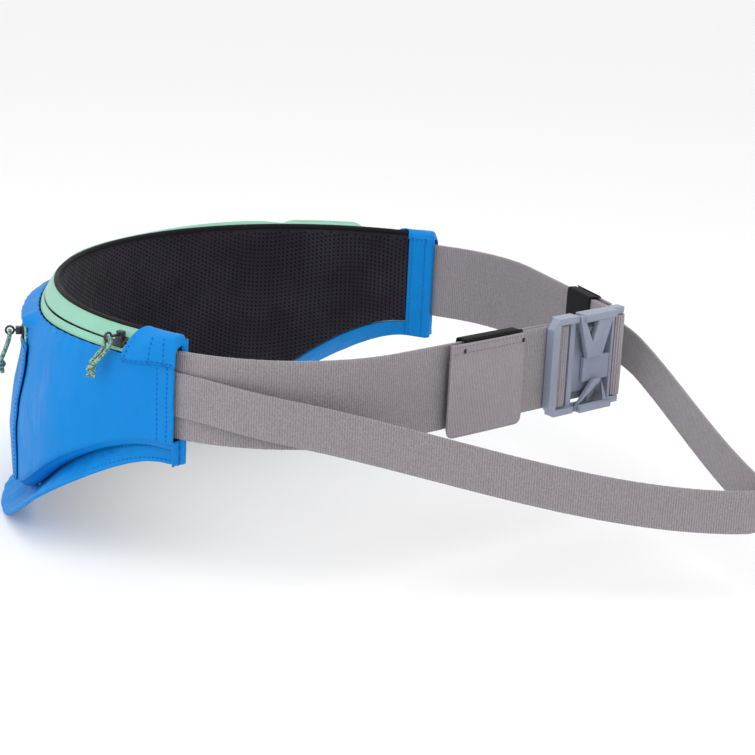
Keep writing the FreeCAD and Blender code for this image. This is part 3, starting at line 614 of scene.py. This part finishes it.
def buildHem():
    hem = clothGrid("bottomHem", spread(-wingAngle, wingAngle, 441), spread(0, 1, 13),
                    lambda a, s: polar(a, *hemPoint(a, s)), hemCloth)
    thicken(hem, 0.0021)
    addModifier(hem, "BEVEL", width=0.0006, segments=2, limit_method="ANGLE", angle_limit=0.9)
    applyAll(hem)
    keepPiece(hem, "pack", "shell_fabric", "bottom_hem")
    rows = []
    for share, offset in ((0.16, 1.25), (0.78, 1.2)):
        line = []
        for angle in spread(-wingAngle + 1, wingAngle - 1, 221):
            radius, height = hemPoint(angle, share)
            line.append(polar(angle, radius + offset, height + 0.15))
        rows.append(line)
    stitchRow("hemStitches", rows, "pack", "shell_fabric", blueThread)


pocket = {"halfAngle": 43.5, "top": 106.5, "depth": 1.6, "thickness": 0.9, "zipHeight": 111.0,
          "zipRadius": 185.0, "tapeStart": 0.6, "tapeEnd": 6.0}


def pocketPoint(angle, share):
    sides = smooth((pocket["halfAngle"] + 0.5 - abs(angle)) / 11)
    high = frontPoint(angle, 0)[1]
    low = frontPoint(angle, 1)[1]
    depth = mix((high - pocket["top"]) / (high - low), 1.0, share)
    radius, height = frontPoint(angle, depth)
    radius += 1.4 + 1.3 * (1 - share) + pocket["depth"] * sides * math.sin(math.pi * share) ** 0.8
    radius += 0.7 * sides * ripple(angle, height, 0.06, 7.0) * math.sin(math.pi * share)
    return radius, height


def buildPocket():
    reach = pocket["halfAngle"]
    panel = clothGrid("pocketPanel", spread(-reach, reach, 175), spread(0, 1, 24),
                      lambda a, s: polar(a, *pocketPoint(a, s)), shellCloth)
    thicken(panel, pocket["thickness"] / 1000, -1.0)
    applyAll(panel)
    keepPiece(panel, "pack", "shell_fabric", "pocket_panel")

    def onPanel(angle, share):
        radius, height = pocketPoint(angle, share)
        return polar(angle, radius + pocket["thickness"] + 0.2, height)

    rows = [[onPanel(side * (reach - 1.4), share) for share in spread(0.02, 0.98, 30)] for side in (-1, 1)]
    rows.append([onPanel(angle, 0.03) for angle in spread(-reach + 1, reach - 1, 90)])
    stitchRow("pocketStitches", rows, "pack", "shell_fabric", blueThread)


def zipTapePiece(name, node, low, high, at, angles, rows=7):
    tape = clothGrid(name, angles, spread(low, high, rows), at, zipTape)
    thicken(tape, pack["tapeThickness"] / 1000)
    applyAll(tape)
    keepPiece(tape, "pack", "zip_tape", node)


def zipCoilPiece(name, node, line, pitch, tooth):
    keepPiece(beadLine(name, [line], pitch, tooth, coilNylon), "pack", "zip_coil", node)


def buildMainZipper():
    reach = pack["zipHalfAngle"]
    angles = spread(-reach, reach, 317)
    outerStart = pack["zipInner"] + pack["zipGap"]
    outerEnd = outerStart + pack["zipOuter"]

    def crownAt(angle, along):
        # the band arches up over the pack's far side
        far = smooth((24 - angle) / 20) * smooth((angle + 74) / 8) * (1 - flatShare(angle))
        arch = smooth(along / 2.2) * (1 - smooth((along - 2.2) / (outerEnd - 3.2)))
        rise = 2.0 + 2.8 * smooth((-angle - 6) / 38)
        return 0.35 * math.sin(math.pi * min(1, max(0, along / outerEnd))) + rise * far * arch

    def bandAt(angle, along):
        return polar(angle, *zipPoint(angle, along, crownAt(angle, along) + 0.12 * ripple(angle, along, 0.2)))

    zipTapePiece("zipTapeInner", "zip_tape_inner", 0, pack["zipInner"], bandAt, angles, 15)
    zipTapePiece("zipTapeOuter", "zip_tape_outer", outerStart, outerEnd, bandAt, angles)
    for name, node, along in (("zipCoilInner", "zip_coil_inner", pack["zipInner"] - 0.75),
                              ("zipCoilOuter", "zip_coil_outer", outerStart + 0.75)):
        line = [polar(angle, *zipPoint(angle, along, crownAt(angle, along) - 1.2)) for angle in angles]
        zipCoilPiece(name, node, line, 0.0013, (0.0016, 0.0016, 0.0008))
    rows = [[polar(angle, *zipPoint(angle, along, crownAt(angle, along) + 0.4)) for angle in angles]
            for along in (0.9, outerEnd - 1.0)]
    stitchRow("zipStitches", rows, "pack", "zip_tape", zipTape, 0.0028, (0.0004, 0.0004, 0.002))


def buildPocketZipper():
    reach = pocket["halfAngle"] - 2.5
    angles = spread(-reach, reach, 165)
    middle = pocket["zipHeight"]
    for name, node, low, high in (
            ("pocketTapeUpper", "pocket_tape_upper", pocket["tapeStart"], pocket["tapeEnd"]),
            ("pocketTapeLower", "pocket_tape_lower", -pocket["tapeEnd"], -pocket["tapeStart"])):
        zipTapePiece(name, node, low, high, lambda a, v: polar(a, pocket["zipRadius"], middle + v), angles)
    for name, node, offset in (("pocketCoilUpper", "pocket_coil_upper", 1.1),
                               ("pocketCoilLower", "pocket_coil_lower", -1.1)):
        line = [polar(angle, pocket["zipRadius"] - 0.5, middle + offset) for angle in angles]
        zipCoilPiece(name, node, line, 0.0012, (0.0012, 0.0007, 0.0008))


def buildPiping():
    # covered cord round the top edge, a little uneven between its stitches
    reach = pack["zipHalfAngle"] + 5.5
    sides = 12
    angles = spread(-reach, reach, 400)

    def pipeAt(angle, turn):
        radius = 1.75 + 0.12 * ripple(angle, 0, 0.5)
        spin = math.tau * turn
        return polar(angle, ringRadius + 1.7 + radius * math.cos(spin),
                     packTop + 0.1 + radius * math.sin(spin))

    piping = clothGrid("topPiping", angles, spread(0, 1, sides + 1), pipeAt, pipingCloth)
    keepPiece(closeTube(piping), "pack", "piping", "top_piping")


def closeTube(piece):
    # join the seam of a tube made as a grid, and cap its ends
    work = bmesh.new()
    work.from_mesh(piece.data)
    bmesh.ops.remove_doubles(work, verts=work.verts, dist=0.000001)
    bmesh.ops.holes_fill(work, edges=[edge for edge in work.edges if edge.is_boundary], sides=0)
    bmesh.ops.recalc_face_normals(work, faces=work.faces)
    work.to_mesh(piece.data)
    work.free()
    return piece


buildShell()
buildHem()
buildPocket()
buildMainZipper()
buildPocketZipper()
buildPiping()
print("shell, pocket and zippers made")


backPad = {"thickness": 3.3, "holePitch": 2.9, "hole": (0.002, 0.0012, 0.001), "puff": 0.8}


def padPoint(angle, share):
    # inner face of the mesh, pulled in at its edges and softly uneven between them
    height = mix(hemTop(angle) + 0.6, packTop - 1, share)
    radius = backRadius(angle, height)
    edge = math.sin(math.pi * share) ** 0.4 * smooth((wingAngle - abs(angle)) / 3)
    radius += 0.9 - backPad["puff"] * edge
    radius += edge * (0.9 * ripple(angle, height, 0.028, 12.0) + 0.4 * ripple(angle, height, 0.07, 15.0))
    return radius, height


def buildBack():
    angles, shares = spread(-wingAngle, wingAngle, 265), spread(0, 1, 31)
    pad = clothGrid("backMesh", angles, shares, lambda a, s: polar(a, *padPoint(a, s)), meshCloth)
    thicken(pad, backPad["thickness"] / 1000, 1.0)
    applyAll(pad)
    keepPiece(pad, "pack", "spacer_mesh", "back_mesh")
    # staggered holes of the spacer mesh drawn as near-black discs of painted shade, one disc to each point of
    # a carrier sheet
    points, normals = [], []
    pitch = backPad["holePitch"]
    columns = int(2 * (wingAngle - 5.5) * math.pi / 180 * ringRadius / pitch)
    for column in range(columns):
        angle = -wingAngle + 5.5 + column * pitch / ringRadius * 180 / math.pi
        rows = int((packTop - 4 - hemTop(angle)) / pitch)
        for row in range(rows):
            height = hemTop(angle) + 2.4 + (row + 0.5 * (column % 2)) * pitch
            share = (height - hemTop(angle) - 0.6) / (packTop - 1 - hemTop(angle) - 0.6)
            if share < 0.985:
                points.append(polar(angle, padPoint(angle, share)[0] - 0.08, height))
                normals.append(-(polar(angle, 1, 0) - polar(angle, 0, 0)))
    placeDiscs("meshHoles", points, normals)


def placeDiscs(name, points, normals):
    # each disc sits on the middle of a tiny triangle that faces the way it should
    vertices, faces = [], []
    for point, normal in zip(points, normals):
        side = normal.normalized().cross(Vector((0, 0, 1))) * 0.00001
        up = Vector((0, 0, 0.00001))
        first = len(vertices)
        vertices += [point, point + side, point + up]
        faces.append((first, first + 1, first + 2))
    carrier = meshPiece(name, vertices, faces, paintedHoleShade, shade=False)
    applyTree(carrier, discPerFace, Size=backPad["hole"], Material=paintedHoleShade)
    keepPiece(carrier, "pack", "spacer_mesh")


def buildInnerLayers():
    # foam and lining between the back panel and the compartment
    angles = spread(-75.5, 75.5, 152)
    for name, node, offset, thickness, material, slotName in (
            ("foamPad", "foam_pad", 5.4, 2.8, liningCloth, "foam"),
            ("backLining", "back_lining", 7.5, 0.5, liningCloth, "lining")):
        layer = clothGrid(name, angles, spread(0, 1, 10), lambda a, s: polar(
            a, backRadius(a, mix(hemTop(a) + 7.2, packTop - 9.2, s)) + offset,
            mix(hemTop(a) + 7.2, packTop - 9.2, s)), material)
        thicken(layer, thickness / 1000)
        applyAll(layer)
        keepPiece(layer, "pack", slotName, node)


# the blue binding of each wing: a strip round its inner end, and a cover over the zipper's end;
# the strip's wrap is (angle, depth behind the face), the cover's sections are (radius, height)
facing = {
    "wrap": [(88.3, 5.2), (88.75, 3.4), (88.8, 1.4), (88.4, 0.1), (87.6, 0)],
    "onWing": [(163.0, 136.5), (163.1, 139.8), (164.8, 141.9), (168.2, 142.3), (171.8, 142.0),
               (174.8, 140.4), (175.3, 136.5), (175.3, 131), (175.3, 125.5)],
    "overBand": [(163.0, 136.5), (163.1, 139.8), (164.8, 142.7), (167.4, 143.1), (170.2, 140.9),
                 (173.6, 137.6), (177.2, 134.2), (181.6, 129.8), (182.6, 125.5)],
    "radius": 162.8,
    "coverFoot": 125.5,
    "innerReach": {"near": 7.6, "far": 5.4},
    "outerReach": 9.8,
}


def coverPoint(side, label, share, row):
    # the zipper's end cover, from the wing's edge (0) over the end of the band (1)
    wingSide, bandSide = facing["onWing"][int(row)], facing["overBand"][int(row)]
    reach = mix(facing["innerReach"][label], facing["outerReach"], smooth((row - 2) / 3))
    angle = side * mix(wingAngle + 0.5, wingAngle - reach, share)
    beside = smooth((wingAngle - 2 - abs(angle)) / 7)
    radius, height = mix(wingSide[0], bandSide[0], beside), mix(wingSide[1], bandSide[1], beside)
    fold = smooth(1 - share * 14) * 0.9
    height = mix(height + 0.2 * ripple(angle, row, 0.4, 21.0), max(facing["coverFoot"], height - 6), fold)
    return polar(angle, radius, height)


def buildFacing(side, label):
    wrap = facing["wrap"] + [(angle, 0) for angle in spread(87, wingAngle - pack["facingWidth"], 12)]

    def stripAt(column, height):
        angle, behind = wrap[int(column)]
        uneven = 0.3 * ripple(side * angle, height, 0.12, 20.0)
        return polar(side * angle, facing["radius"] + behind + uneven, height)

    def cornerAt(radius, height):
        # closes the corner between the front panel and the back under the belt
        return polar(side * (88.1 + 0.2 * ripple(radius, height, 0.3, 22.0)), radius, height)

    def coverAt(share, row):
        return coverPoint(side, label, share, row)

    strip = clothGrid("wingFacing_" + label, range(len(wrap)), spread(68.4, 139.2, 40), stripAt, shellCloth)
    thicken(strip, 0.0007)
    keepPiece(applyAll(strip), "pack", "shell_fabric", "wing_facing_" + label)
    corner = clothGrid("wingCorner_" + label, spread(165.5, 174.4, 8), spread(68.5, 82.4, 8), cornerAt,
                       shellCloth)
    thicken(corner, 0.0009)
    keepPiece(applyAll(corner), "pack", "shell_fabric")
    lid = clothGrid("zipEndCover_" + label, spread(0, 1, 30), range(len(facing["onWing"])), coverAt,
                    shellCloth)
    addModifier(lid, "SUBSURF", levels=1, render_levels=1)
    thicken(lid, 0.0008)
    keepPiece(applyAll(lid), "pack", "shell_fabric")
    stitchRow("wingStitches_" + label, wingSeams(side, coverAt), "pack", "shell_fabric", blueThread)


def wingSeams(side, coverAt):
    # seams of one wing: inside the facing, on the front panel, and on the cover
    inside = facing["radius"] - 0.6
    outside = pack["shellThickness"] + 0.2
    seams = [[polar(side * angle, inside, height) for height in spread(70, 138, 40)] for angle in (83.7, 87.0)]
    seams.append([polar(side * angle, inside, 136.8) for angle in spread(83.7, 87.2, 8)])
    for angle in (84.6, 86.6):
        faces = [frontPoint(side * angle, share) for share in spread(0.27, 0.97, 30)]
        seams.append([polar(side * angle, radius + outside, height) for radius, height in faces])
    lift = polar(side * 85, 0.6, 0) - polar(side * 85, 0, 0)
    seams.append([coverAt(share, 8) + lift + Vector((0, 0, 0.0012)) for share in spread(0.08, 0.96, 20)])
    seams += [[coverAt(share, row) + lift for row in (5, 6, 7, 8)] for share in (0.24, 0.5, 0.92)]
    return seams


buildBack()
buildInnerLayers()
buildFacing(1, "near")
buildFacing(-1, "far")
print("back panel made")


belt = {"width": 50.0, "bottom": 83.5, "thickness": 1.45, "ribPitch": 1.4, "ribHeight": 0.12, "step": 0.35}
buckle = {"centre": Vector((-28.0, 154.4, 108.5)), "turn": math.radians(-23.0), "farBarX": -31.8}
buckleAlong = Vector((math.cos(buckle["turn"]), math.sin(buckle["turn"]), 0))
buckleOut = Vector((-math.sin(buckle["turn"]), math.cos(buckle["turn"]), 0))
farHeading = Vector((0.667, 0.745, 0)).normalized()
farSide = Vector((farHeading.y, -farHeading.x, 0))
beltRadius = ringRadius + pack["meshThickness"] + 0.3 + 0.8  # a gap and half the webbing
strapRadius = beltRadius + 1.9


def fromBuckle(x, y):
    return buckle["centre"].xy.to_3d() + buckleAlong * x + buckleOut * y


def fromFarBar(back, inward):
    return fromBuckle(buckle["farBarX"], 0) - farHeading * back + farSide * inward


def crossing(x, point, heading):
    return Vector((x, point.y + heading.y * (x - point.x) / heading.x, 0))


def planLine(start, corners, end, step):
    # evenly spaced (distance, point, heading) along straight runs joined by tangent arcs
    found = []
    travelled = 0.0

    def addRun(here, there):
        nonlocal travelled
        length = (there - here).length
        count = max(1, round(length / step))
        for index in range(count):
            found.append((travelled + length * index / count, here.lerp(there, index / count),
                          (there - here).normalized()))
        travelled += length

    here = start
    stops = [point for point, radius in corners] + [end]
    for index, (corner, radius) in enumerate(corners):
        back = (here - corner).normalized()
        ahead = (stops[index + 1] - corner).normalized()
        half = back.angle(ahead) / 2
        arcStart = corner + back * radius / math.tan(half)
        arcEnd = corner + ahead * radius / math.tan(half)
        centre = corner + (back + ahead).normalized() * radius / math.sin(half)
        if (arcStart - here).length > 0.01:
            addRun(here, arcStart)
        spin = 1 if (arcStart - centre).cross(arcEnd - centre).z > 0 else -1
        turn = (arcStart - centre).angle(arcEnd - centre)
        count = max(6, round(turn * radius / step))
        for share in range(count):
            arm = Matrix.Rotation(spin * turn * share / count, 3, "Z") @ (arcStart - centre)
            found.append((travelled + turn * radius * share / count, centre + arm,
                          Vector((0, 0, 1)).cross(arm).normalized() * spin))
        travelled += turn * radius
        here = arcEnd
    addRun(here, end)
    found.append((travelled, end, (end - here).normalized()))
    return found


def webbingPiece(name, line, lowAt, highAt, settings):
    # ribbed webbing on edge along a plan line; the ribs are part of the mesh
    def strapAt(station, share):
        distance, point, heading = station
        side = Vector((0, 0, 1)).cross(heading)
        rib = settings["ribHeight"] * math.cos(math.tau * distance / settings["ribPitch"])
        rib *= smooth(min(share, 1 - share) * 14)
        spot = point + side * rib
        edge = 0.12 * noise.noise(Vector((distance * 0.35, share * 3, 1.0)))
        return place(spot.x, spot.y, mix(lowAt(distance), highAt(distance), share) + edge)
    shares = [0, 0.02, 0.06, 0.2, 0.35, 0.5, 0.65, 0.8, 0.94, 0.98, 1]
    piece = clothGrid(name, line, shares, strapAt, webbingCloth, [station[0] for station in line])
    thicken(piece, settings["thickness"] / 1000)
    return applyAll(piece)


def beltLow(distance):
    return belt["bottom"]


def beltHigh(distance):
    return belt["bottom"] + belt["width"]


def buildBelts():
    fixedEnd = fromBuckle(58, -3.2)
    near = planLine(Vector((beltRadius, -17, 0)), [(crossing(beltRadius, fixedEnd, buckleAlong), 108)],
                    fixedEnd, belt["step"])
    loopRoute = [(22.5, -1.2, 4.0), (20.2, 3.6, 4.0), (13.4, 3.6, 3.59), (13.4, -3.6, 3.59), (22, -3.6, 6.0),
                 (30, -5.2, 6.0)]
    loop = planLine(fromBuckle(66, -1.2), [(fromBuckle(x, y), radius) for x, y, radius in loopRoute],
                    fromBuckle(66, -5.2), belt["step"])
    reach = 3.7  # from the middle of the far bar to the webbing folded round it
    farCorner = crossing(-beltRadius, fromFarBar(40, -reach), farHeading)
    far = planLine(Vector((-beltRadius, -17, 0)),
                   [(farCorner, 100), (fromFarBar(-reach, -reach), reach - 0.01),
                    (fromFarBar(-reach, reach), reach - 0.01), (fromFarBar(6, reach), 8),
                    (fromFarBar(20, 2.0 - reach), 8)], fromFarBar(58, 2.0 - reach), belt["step"])
    for name, node, body, line in (("wideBeltNear", "wide_belt_near", "pack", near),
                                   ("beltLoop", "belt_loop", "buckle_male_half", loop),
                                   ("wideBeltFar", "wide_belt_far", "pack", far)):
        keepPiece(webbingPiece(name, line, beltLow, beltHigh, belt), body, "webbing", node)


frontStrap = {"width": 25.0, "thickness": 1.45, "ribPitch": 1.4, "ribHeight": 0.12, "step": 0.35,
              "top": 122.0, "drop": 54.0, "fold": 325.0, "rise": 228.0}


def strapHeight(distance):
    # the slack strap sinks from the near wing to its fold, then rises to the far wing
    sunk = smooth(distance / frontStrap["fold"])
    if distance >= frontStrap["fold"]:
        sunk = 1 - smooth((distance - frontStrap["fold"]) / frontStrap["rise"])
    return frontStrap["top"] - frontStrap["drop"] * sunk


def strapDepth(distance):
    slope = (strapHeight(distance + 1) - strapHeight(distance - 1)) / 2
    return frontStrap["width"] * math.sqrt(1 + slope * slope)


def buildStrap():
    corners = [(Vector((strapRadius, 42, 0)), 90), (Vector((26, 294, 0)), 12), (Vector((-84, 172, 0)), 60),
               (Vector((-173, 45, 0)), 90)]
    line = planLine(Vector((strapRadius, -17, 0)), corners, Vector((-strapRadius, -17, 0)),
                    frontStrap["step"])
    piece = webbingPiece("narrowStrap", line, lambda d: strapHeight(d) - strapDepth(d), strapHeight,
                         frontStrap)
    keepPiece(piece, "pack", "webbing", "narrow_strap")


buildBelts()
buildStrap()
print("belts made")


keeper = {"wall": 1.2, "slack": 0.7, "squareness": 0.16, "bandStart": 2.7, "bandShort": 13.0, "drop": 4.6,
          "rise": 0.5, "corner": 5.0, "hem": 7.5, "ribPitch": 1.25, "ribHeight": 0.1}


def buildKeeper(label, body, start, along, length, inner, belly):
    # an elastic band round the belt under a hemmed webbing face with bar tacks at its corners
    out = Vector((0, 0, 1)).cross(along)
    lowSide, highSide = inner
    half = belt["width"] / 2 + keeper["slack"]
    middle = belt["bottom"] + belt["width"] / 2
    wall = keeper["wall"]
    ring = []
    for turn in spread(0, math.tau, 57):
        # rounded rectangle round the belt
        cosine, sine = math.cos(turn), math.sin(turn)
        across = math.copysign(abs(cosine) ** keeper["squareness"], cosine)
        tall = math.copysign(abs(sine) ** keeper["squareness"], sine)
        ring.append((mix(lowSide, highSide, 0.5) + across * ((highSide - lowSide) / 2 + wall / 2),
                     middle + tall * (half + wall / 2)))

    def bandAt(distance, index):
        offset, height = ring[int(index)]
        spot = start + along * distance + out * offset
        return place(spot.x, spot.y, height)

    bandStart, bandEnd = keeper["bandStart"], length - keeper["bandShort"]
    band = clothGrid(f"{label}KeeperBand", spread(bandStart, bandEnd, 41), range(len(ring)), bandAt,
                     elasticCloth)
    thicken(band, 0.0011)
    applyAll(band)
    keepPiece(band, body, "elastic", f"{label}_keeper_band")

    faceOut = highSide + wall + 1.0
    low = middle - belt["width"] / 2 - keeper["drop"]
    high = middle + belt["width"] / 2 + keeper["rise"]
    corner = keeper["corner"]

    def faceAt(distance, share):
        inset = corner - min(corner, distance, length - distance)
        foot = low + (corner - math.sqrt(max(0, corner ** 2 - inset ** 2)))
        height = mix(foot, high, share)
        hem = 0.5 * (high - height < keeper["hem"]) if share < 0.995 else 0.2
        rib = keeper["ribHeight"] * math.cos(math.tau * distance / keeper["ribPitch"])
        puff = belly * math.sin(math.pi * distance / length) * 0.5
        spot = start + along * distance + out * (faceOut + rib + puff + hem * 0.6)
        return place(spot.x, spot.y, height)

    shares = [0, 0.03, 0.1, 0.25, 0.4, 0.55, 0.7, 0.8, 0.858, 0.87, 0.93, 0.985, 1]
    columns = spread(0, length, round(length / 0.3) + 1)
    face = clothGrid(f"{label}KeeperFace", columns, shares, faceAt, keeperCloth, columns)
    thicken(face, 0.0013)
    applyAll(face)
    keepPiece(face, body, "webbing", f"{label}_keeper_face")

    def facePoint(distance, height, lift=1.45):
        spot = start + along * distance + out * (faceOut + lift)
        return place(spot.x, spot.y, height)

    rows = [[facePoint(d, high - offset) for d in spread(2, length - 2, 30)] for offset in (1.4, 5.2)]
    stitchRow(f"{label}KeeperStitches", rows, body, "webbing", greyThread, 0.0029, (0.0005, 0.0005, 0.0021))
    tacks = [[facePoint(d + shift, h) for h in spread(high - 5.2, high - 3.4, 5)]
             for d in (2.6, bandEnd + 3.0) for shift in (-0.6, 0, 0.6)]
    stitchRow(f"{label}KeeperTacks", tacks, body, "elastic", elasticCloth, 0.0007, (0.0006, 0.0006, 0.0009))
    # fuzzy selvedge of the elastic standing above the face
    fringe = [[facePoint(d, high + 0.6 + 0.5 * row, 0.2 - 0.5 * row) for d in spread(bandStart, bandEnd, 60)]
              for row in range(3)]
    stitchRow(f"{label}KeeperFringe", fringe, body, "elastic", elasticCloth, 0.0006, (0.0008, 0.0008, 0.0011))


buildKeeper("near", "near_keeper", fromBuckle(50, 0), buckleAlong, 59.5, (-6.5, 0.1), 0.6)
buildKeeper("far", "far_keeper", fromFarBar(66, 0), farHeading, 44.0, (0.4, 5.2), 0.4)
print("keepers made")


def buildBuckle():
    frameUv = (place(*buckle["centre"]), buckleAlong, Vector((0, 0, 1)))
    for node, body, width in (("buckle_male", "buckle_male_half", 0.0014),
                              ("buckle_female", "pack", 0.0009),
                              ("upper_catch", "upper_catch", 0.0008),
                              ("lower_catch", "lower_catch", 0.0008)):
        roundedCopy(node, bucklePlastic, width, body, "buckle_plastic", frameUv, segments=4)
    # moulded stud on the tongue, seen through the upper catch's window
    stud = [(0.0, 2.1), (1.0, 2.05), (1.3, 1.6), (1.55, 1.6), (1.9, 1.9), (2.2, 1.5), (2.3, -0.6)]

    def studAt(turn, ring):
        radius, out = stud[int(ring)]
        across = math.cos(math.tau * turn) * radius
        spot = fromBuckle(-8.4 + across, out)
        return place(spot.x, spot.y, 126.8 + math.sin(math.tau * turn) * radius)

    button = clothGrid("tongueStud", spread(0, 1, 29), range(len(stud)), studAt, bucklePlastic)
    closeTube(button)
    keepPiece(button, "buckle_male_half", "buckle_plastic")


buildBuckle()
print("buckle made")


def pullFrame(angle, origin):
    turn = math.radians(angle)
    outward = Vector((math.sin(turn), -math.cos(turn), 0))
    along = Vector((math.cos(turn), math.sin(turn), 0))
    return lambda x, y, z: origin + (outward * x + along * y + Vector((0, 0, z))) / 1000


cordWidth = 0.0024
pulls = {
    "main_pull": {"angle": 76.0, "fold": "main_pull_swing",
                  "route": [(14.3, -6.7, -15.92), (10.2, 1.5, -7), (9.7, 2.1, -0.3), (9.7, -2.1, -0.3),
                            (10.2, -2.7, -7), (14.3, -9.3, -15.92)], "knot": (14.3, -8, -18.8)},
    "pocket_pull": {"angle": 37.0, "fold": "pocket_pull_swing",
                    "route": [(14.2, 3.3, -18.12), (9.2, 1.5, -7), (8.7, 2.1, -0.3), (8.7, -2.1, -0.3),
                              (9.2, -2.7, -7), (14.2, 0.7, -18.12)], "knot": (14.2, 2, -21)},
}


def buildKnot(name, centre):
    # an overhand knot drawn tight, with its two cut tails
    curve = bpy.data.curves.new(name, "CURVE")
    curve.dimensions = "3D"
    curve.bevel_depth = cordWidth / 2
    curve.bevel_resolution = 4
    curve.resolution_u = 6
    knot = curve.splines.new("NURBS")
    count = 30
    knot.points.add(count - 1)
    for index in range(count):
        turn = math.tau * index / count
        spot = Vector((math.sin(turn) + 2 * math.sin(2 * turn), math.cos(turn) - 2 * math.cos(2 * turn),
                       -1.15 * math.sin(3 * turn))) * 0.00082
        spot = Vector((spot.x, spot.z, spot.y * 1.05))
        knot.points[index].co = (*(centre + spot), 1)
    knot.order_u = 4
    knot.use_cyclic_u = True
    for side in (-1, 1):
        tail = curve.splines.new("NURBS")
        tail.points.add(3)
        tailRoute = [(0, 0.0009, -0.001), (0.0003, 0.0014, -0.0028), (0.0005, 0.0016, -0.004),
                     (0.0006, 0.0017, -0.0048)]
        for point, (x, y, z) in zip(tail.points, tailRoute):
            point.co = (*(centre + Vector((x, side * y, z))), 1)
        tail.order_u = 3
        tail.use_endpoint_u = True
    curve.use_fill_caps = True
    curve.materials.append(pullCord)
    piece = bpy.data.objects.new(name, curve)
    bpy.context.scene.collection.objects.link(piece)
    mesh = bpy.data.meshes.new_from_object(piece.evaluated_get(bpy.context.evaluated_depsgraph_get()))
    bpy.data.objects.remove(piece)
    mesh.name = name
    solid = bpy.data.objects.new(name, mesh)
    bpy.context.scene.collection.objects.link(solid)
    mesh.shade_smooth()
    return solid


def buildPull(name, settings):
    joint = next(joint for joint in frame["joints"] if joint["name"] == settings["fold"])
    at = pullFrame(settings["angle"], Vector(joint["pos_m"]))
    curve = bpy.data.curves.new(name + "Cord", "CURVE")
    curve.dimensions = "3D"
    curve.bevel_depth = cordWidth / 2
    curve.bevel_resolution = 4
    curve.resolution_u = 12
    curve.use_fill_caps = True
    spline = curve.splines.new("NURBS")
    spline.points.add(len(settings["route"]) - 1)
    for point, spot in zip(spline.points, settings["route"]):
        point.co = (*at(*spot), 1)
    spline.order_u = 3
    spline.use_endpoint_u = True
    curve.materials.append(pullCord)
    cord = bpy.data.objects.new(name + "Cord", curve)
    bpy.context.scene.collection.objects.link(cord)
    knot = buildKnot(name + "Knot", at(*settings["knot"]))
    keepPiece(knot, name, "pull_cord", name + "_knot")
    keepPiece(cord, name, "pull_cord", name + "_cord")
    tuple(at(*settings["route"][0]))
    roundedCopy(name + "_hook", sliderMetal, 0.0002, name, "slider_metal", segments=2)


for pullName, pullSettings in pulls.items():
    buildPull(pullName, pullSettings)
for node, body, width in (("main_slider", "main_slider", 0.00035),
                          ("main_slider_bridge", "main_slider", 0.0004),
                          ("pocket_slider", "pocket_slider", 0.00035),
                          ("pocket_slider_bridge", "pocket_slider", 0.0004),
                          ("zip_stops", "pack", 0.0003)):
    roundedCopy(node, sliderMetal, width, body, "slider_metal", segments=2)
print("sliders and pulls made")


camera = {"spot": (1073.2, 531.1, 424.0), "yaw": -114.8, "pitch": 16.0, "roll": 2.77, "focal": 95.36}


def buildCamera():
    yaw, pitch, roll = (math.radians(camera[key]) for key in ("yaw", "pitch", "roll"))
    level = Vector((math.sin(yaw), math.cos(yaw), 0))
    forward = (level * math.cos(pitch) + Vector((0, 0, -math.sin(pitch)))).normalized()
    right = forward.cross(Vector((0, 0, 1))).normalized()
    up = right.cross(forward)
    rolledRight = right * math.cos(roll) + up * math.sin(roll)
    rolledUp = up * math.cos(roll) - right * math.sin(roll)
    data = bpy.data.cameras.new("camera")
    data.lens = camera["focal"]
    data.sensor_width = 36.0
    data.clip_start = 0.01
    eye = bpy.data.objects.new("camera", data)
    bpy.context.scene.collection.objects.link(eye)
    eye.matrix_world = Matrix.Translation(place(*camera["spot"])) @ Matrix(
        (rolledRight, rolledUp, -forward)).transposed().to_4x4()
    bpy.context.scene.camera = eye


def addLight(name, spot, target, extent, power, colour=(1, 1, 1)):
    data = bpy.data.lights.new(name, "AREA")
    data.shape = "RECTANGLE"
    data.size, data.size_y = extent
    data.energy = power
    data.color = colour
    light = bpy.data.objects.new(name, data)
    light.location = spot
    light.rotation_euler = (Vector(target) - Vector(spot)).to_track_quat("-Z", "Y").to_euler()
    bpy.context.scene.collection.objects.link(light)


def buildStudio():
    bpy.context.scene.view_settings.view_transform = "Standard"
    floor = meshPiece("floor", [(-6, -6, 0), (6, -6, 0), (6, 6, 0), (-6, 6, 0)], [(0, 1, 2, 3)],
                      newMaterial("floorPaint")[0])
    shader = floor.data.materials[0].node_tree.nodes["Principled BSDF"]
    shader.inputs["Base Color"].default_value = (0.9, 0.9, 0.9, 1)
    shader.inputs["Roughness"].default_value = 0.85
    world = bpy.data.worlds.new("studio")
    world.use_nodes = True
    world.node_tree.nodes["Background"].inputs[0].default_value = (1, 1, 1, 1)
    world.node_tree.nodes["Background"].inputs[1].default_value = 1.0
    bpy.context.scene.world = world
    addLight("overhead", (0.3, 0.0, 1.3), (0, 0, 0.08), (1.2, 1.2), 4.5)
    addLight("front", (1.1, -0.7, 0.75), (0, 0, 0.08), (0.8, 0.8), 2.5)
    addLight("buckleSide", (0.9, 1.2, 0.6), (0, 0.1, 0.08), (0.8, 0.6), 1.5)


buildCamera()
buildStudio()
print("camera and light set")
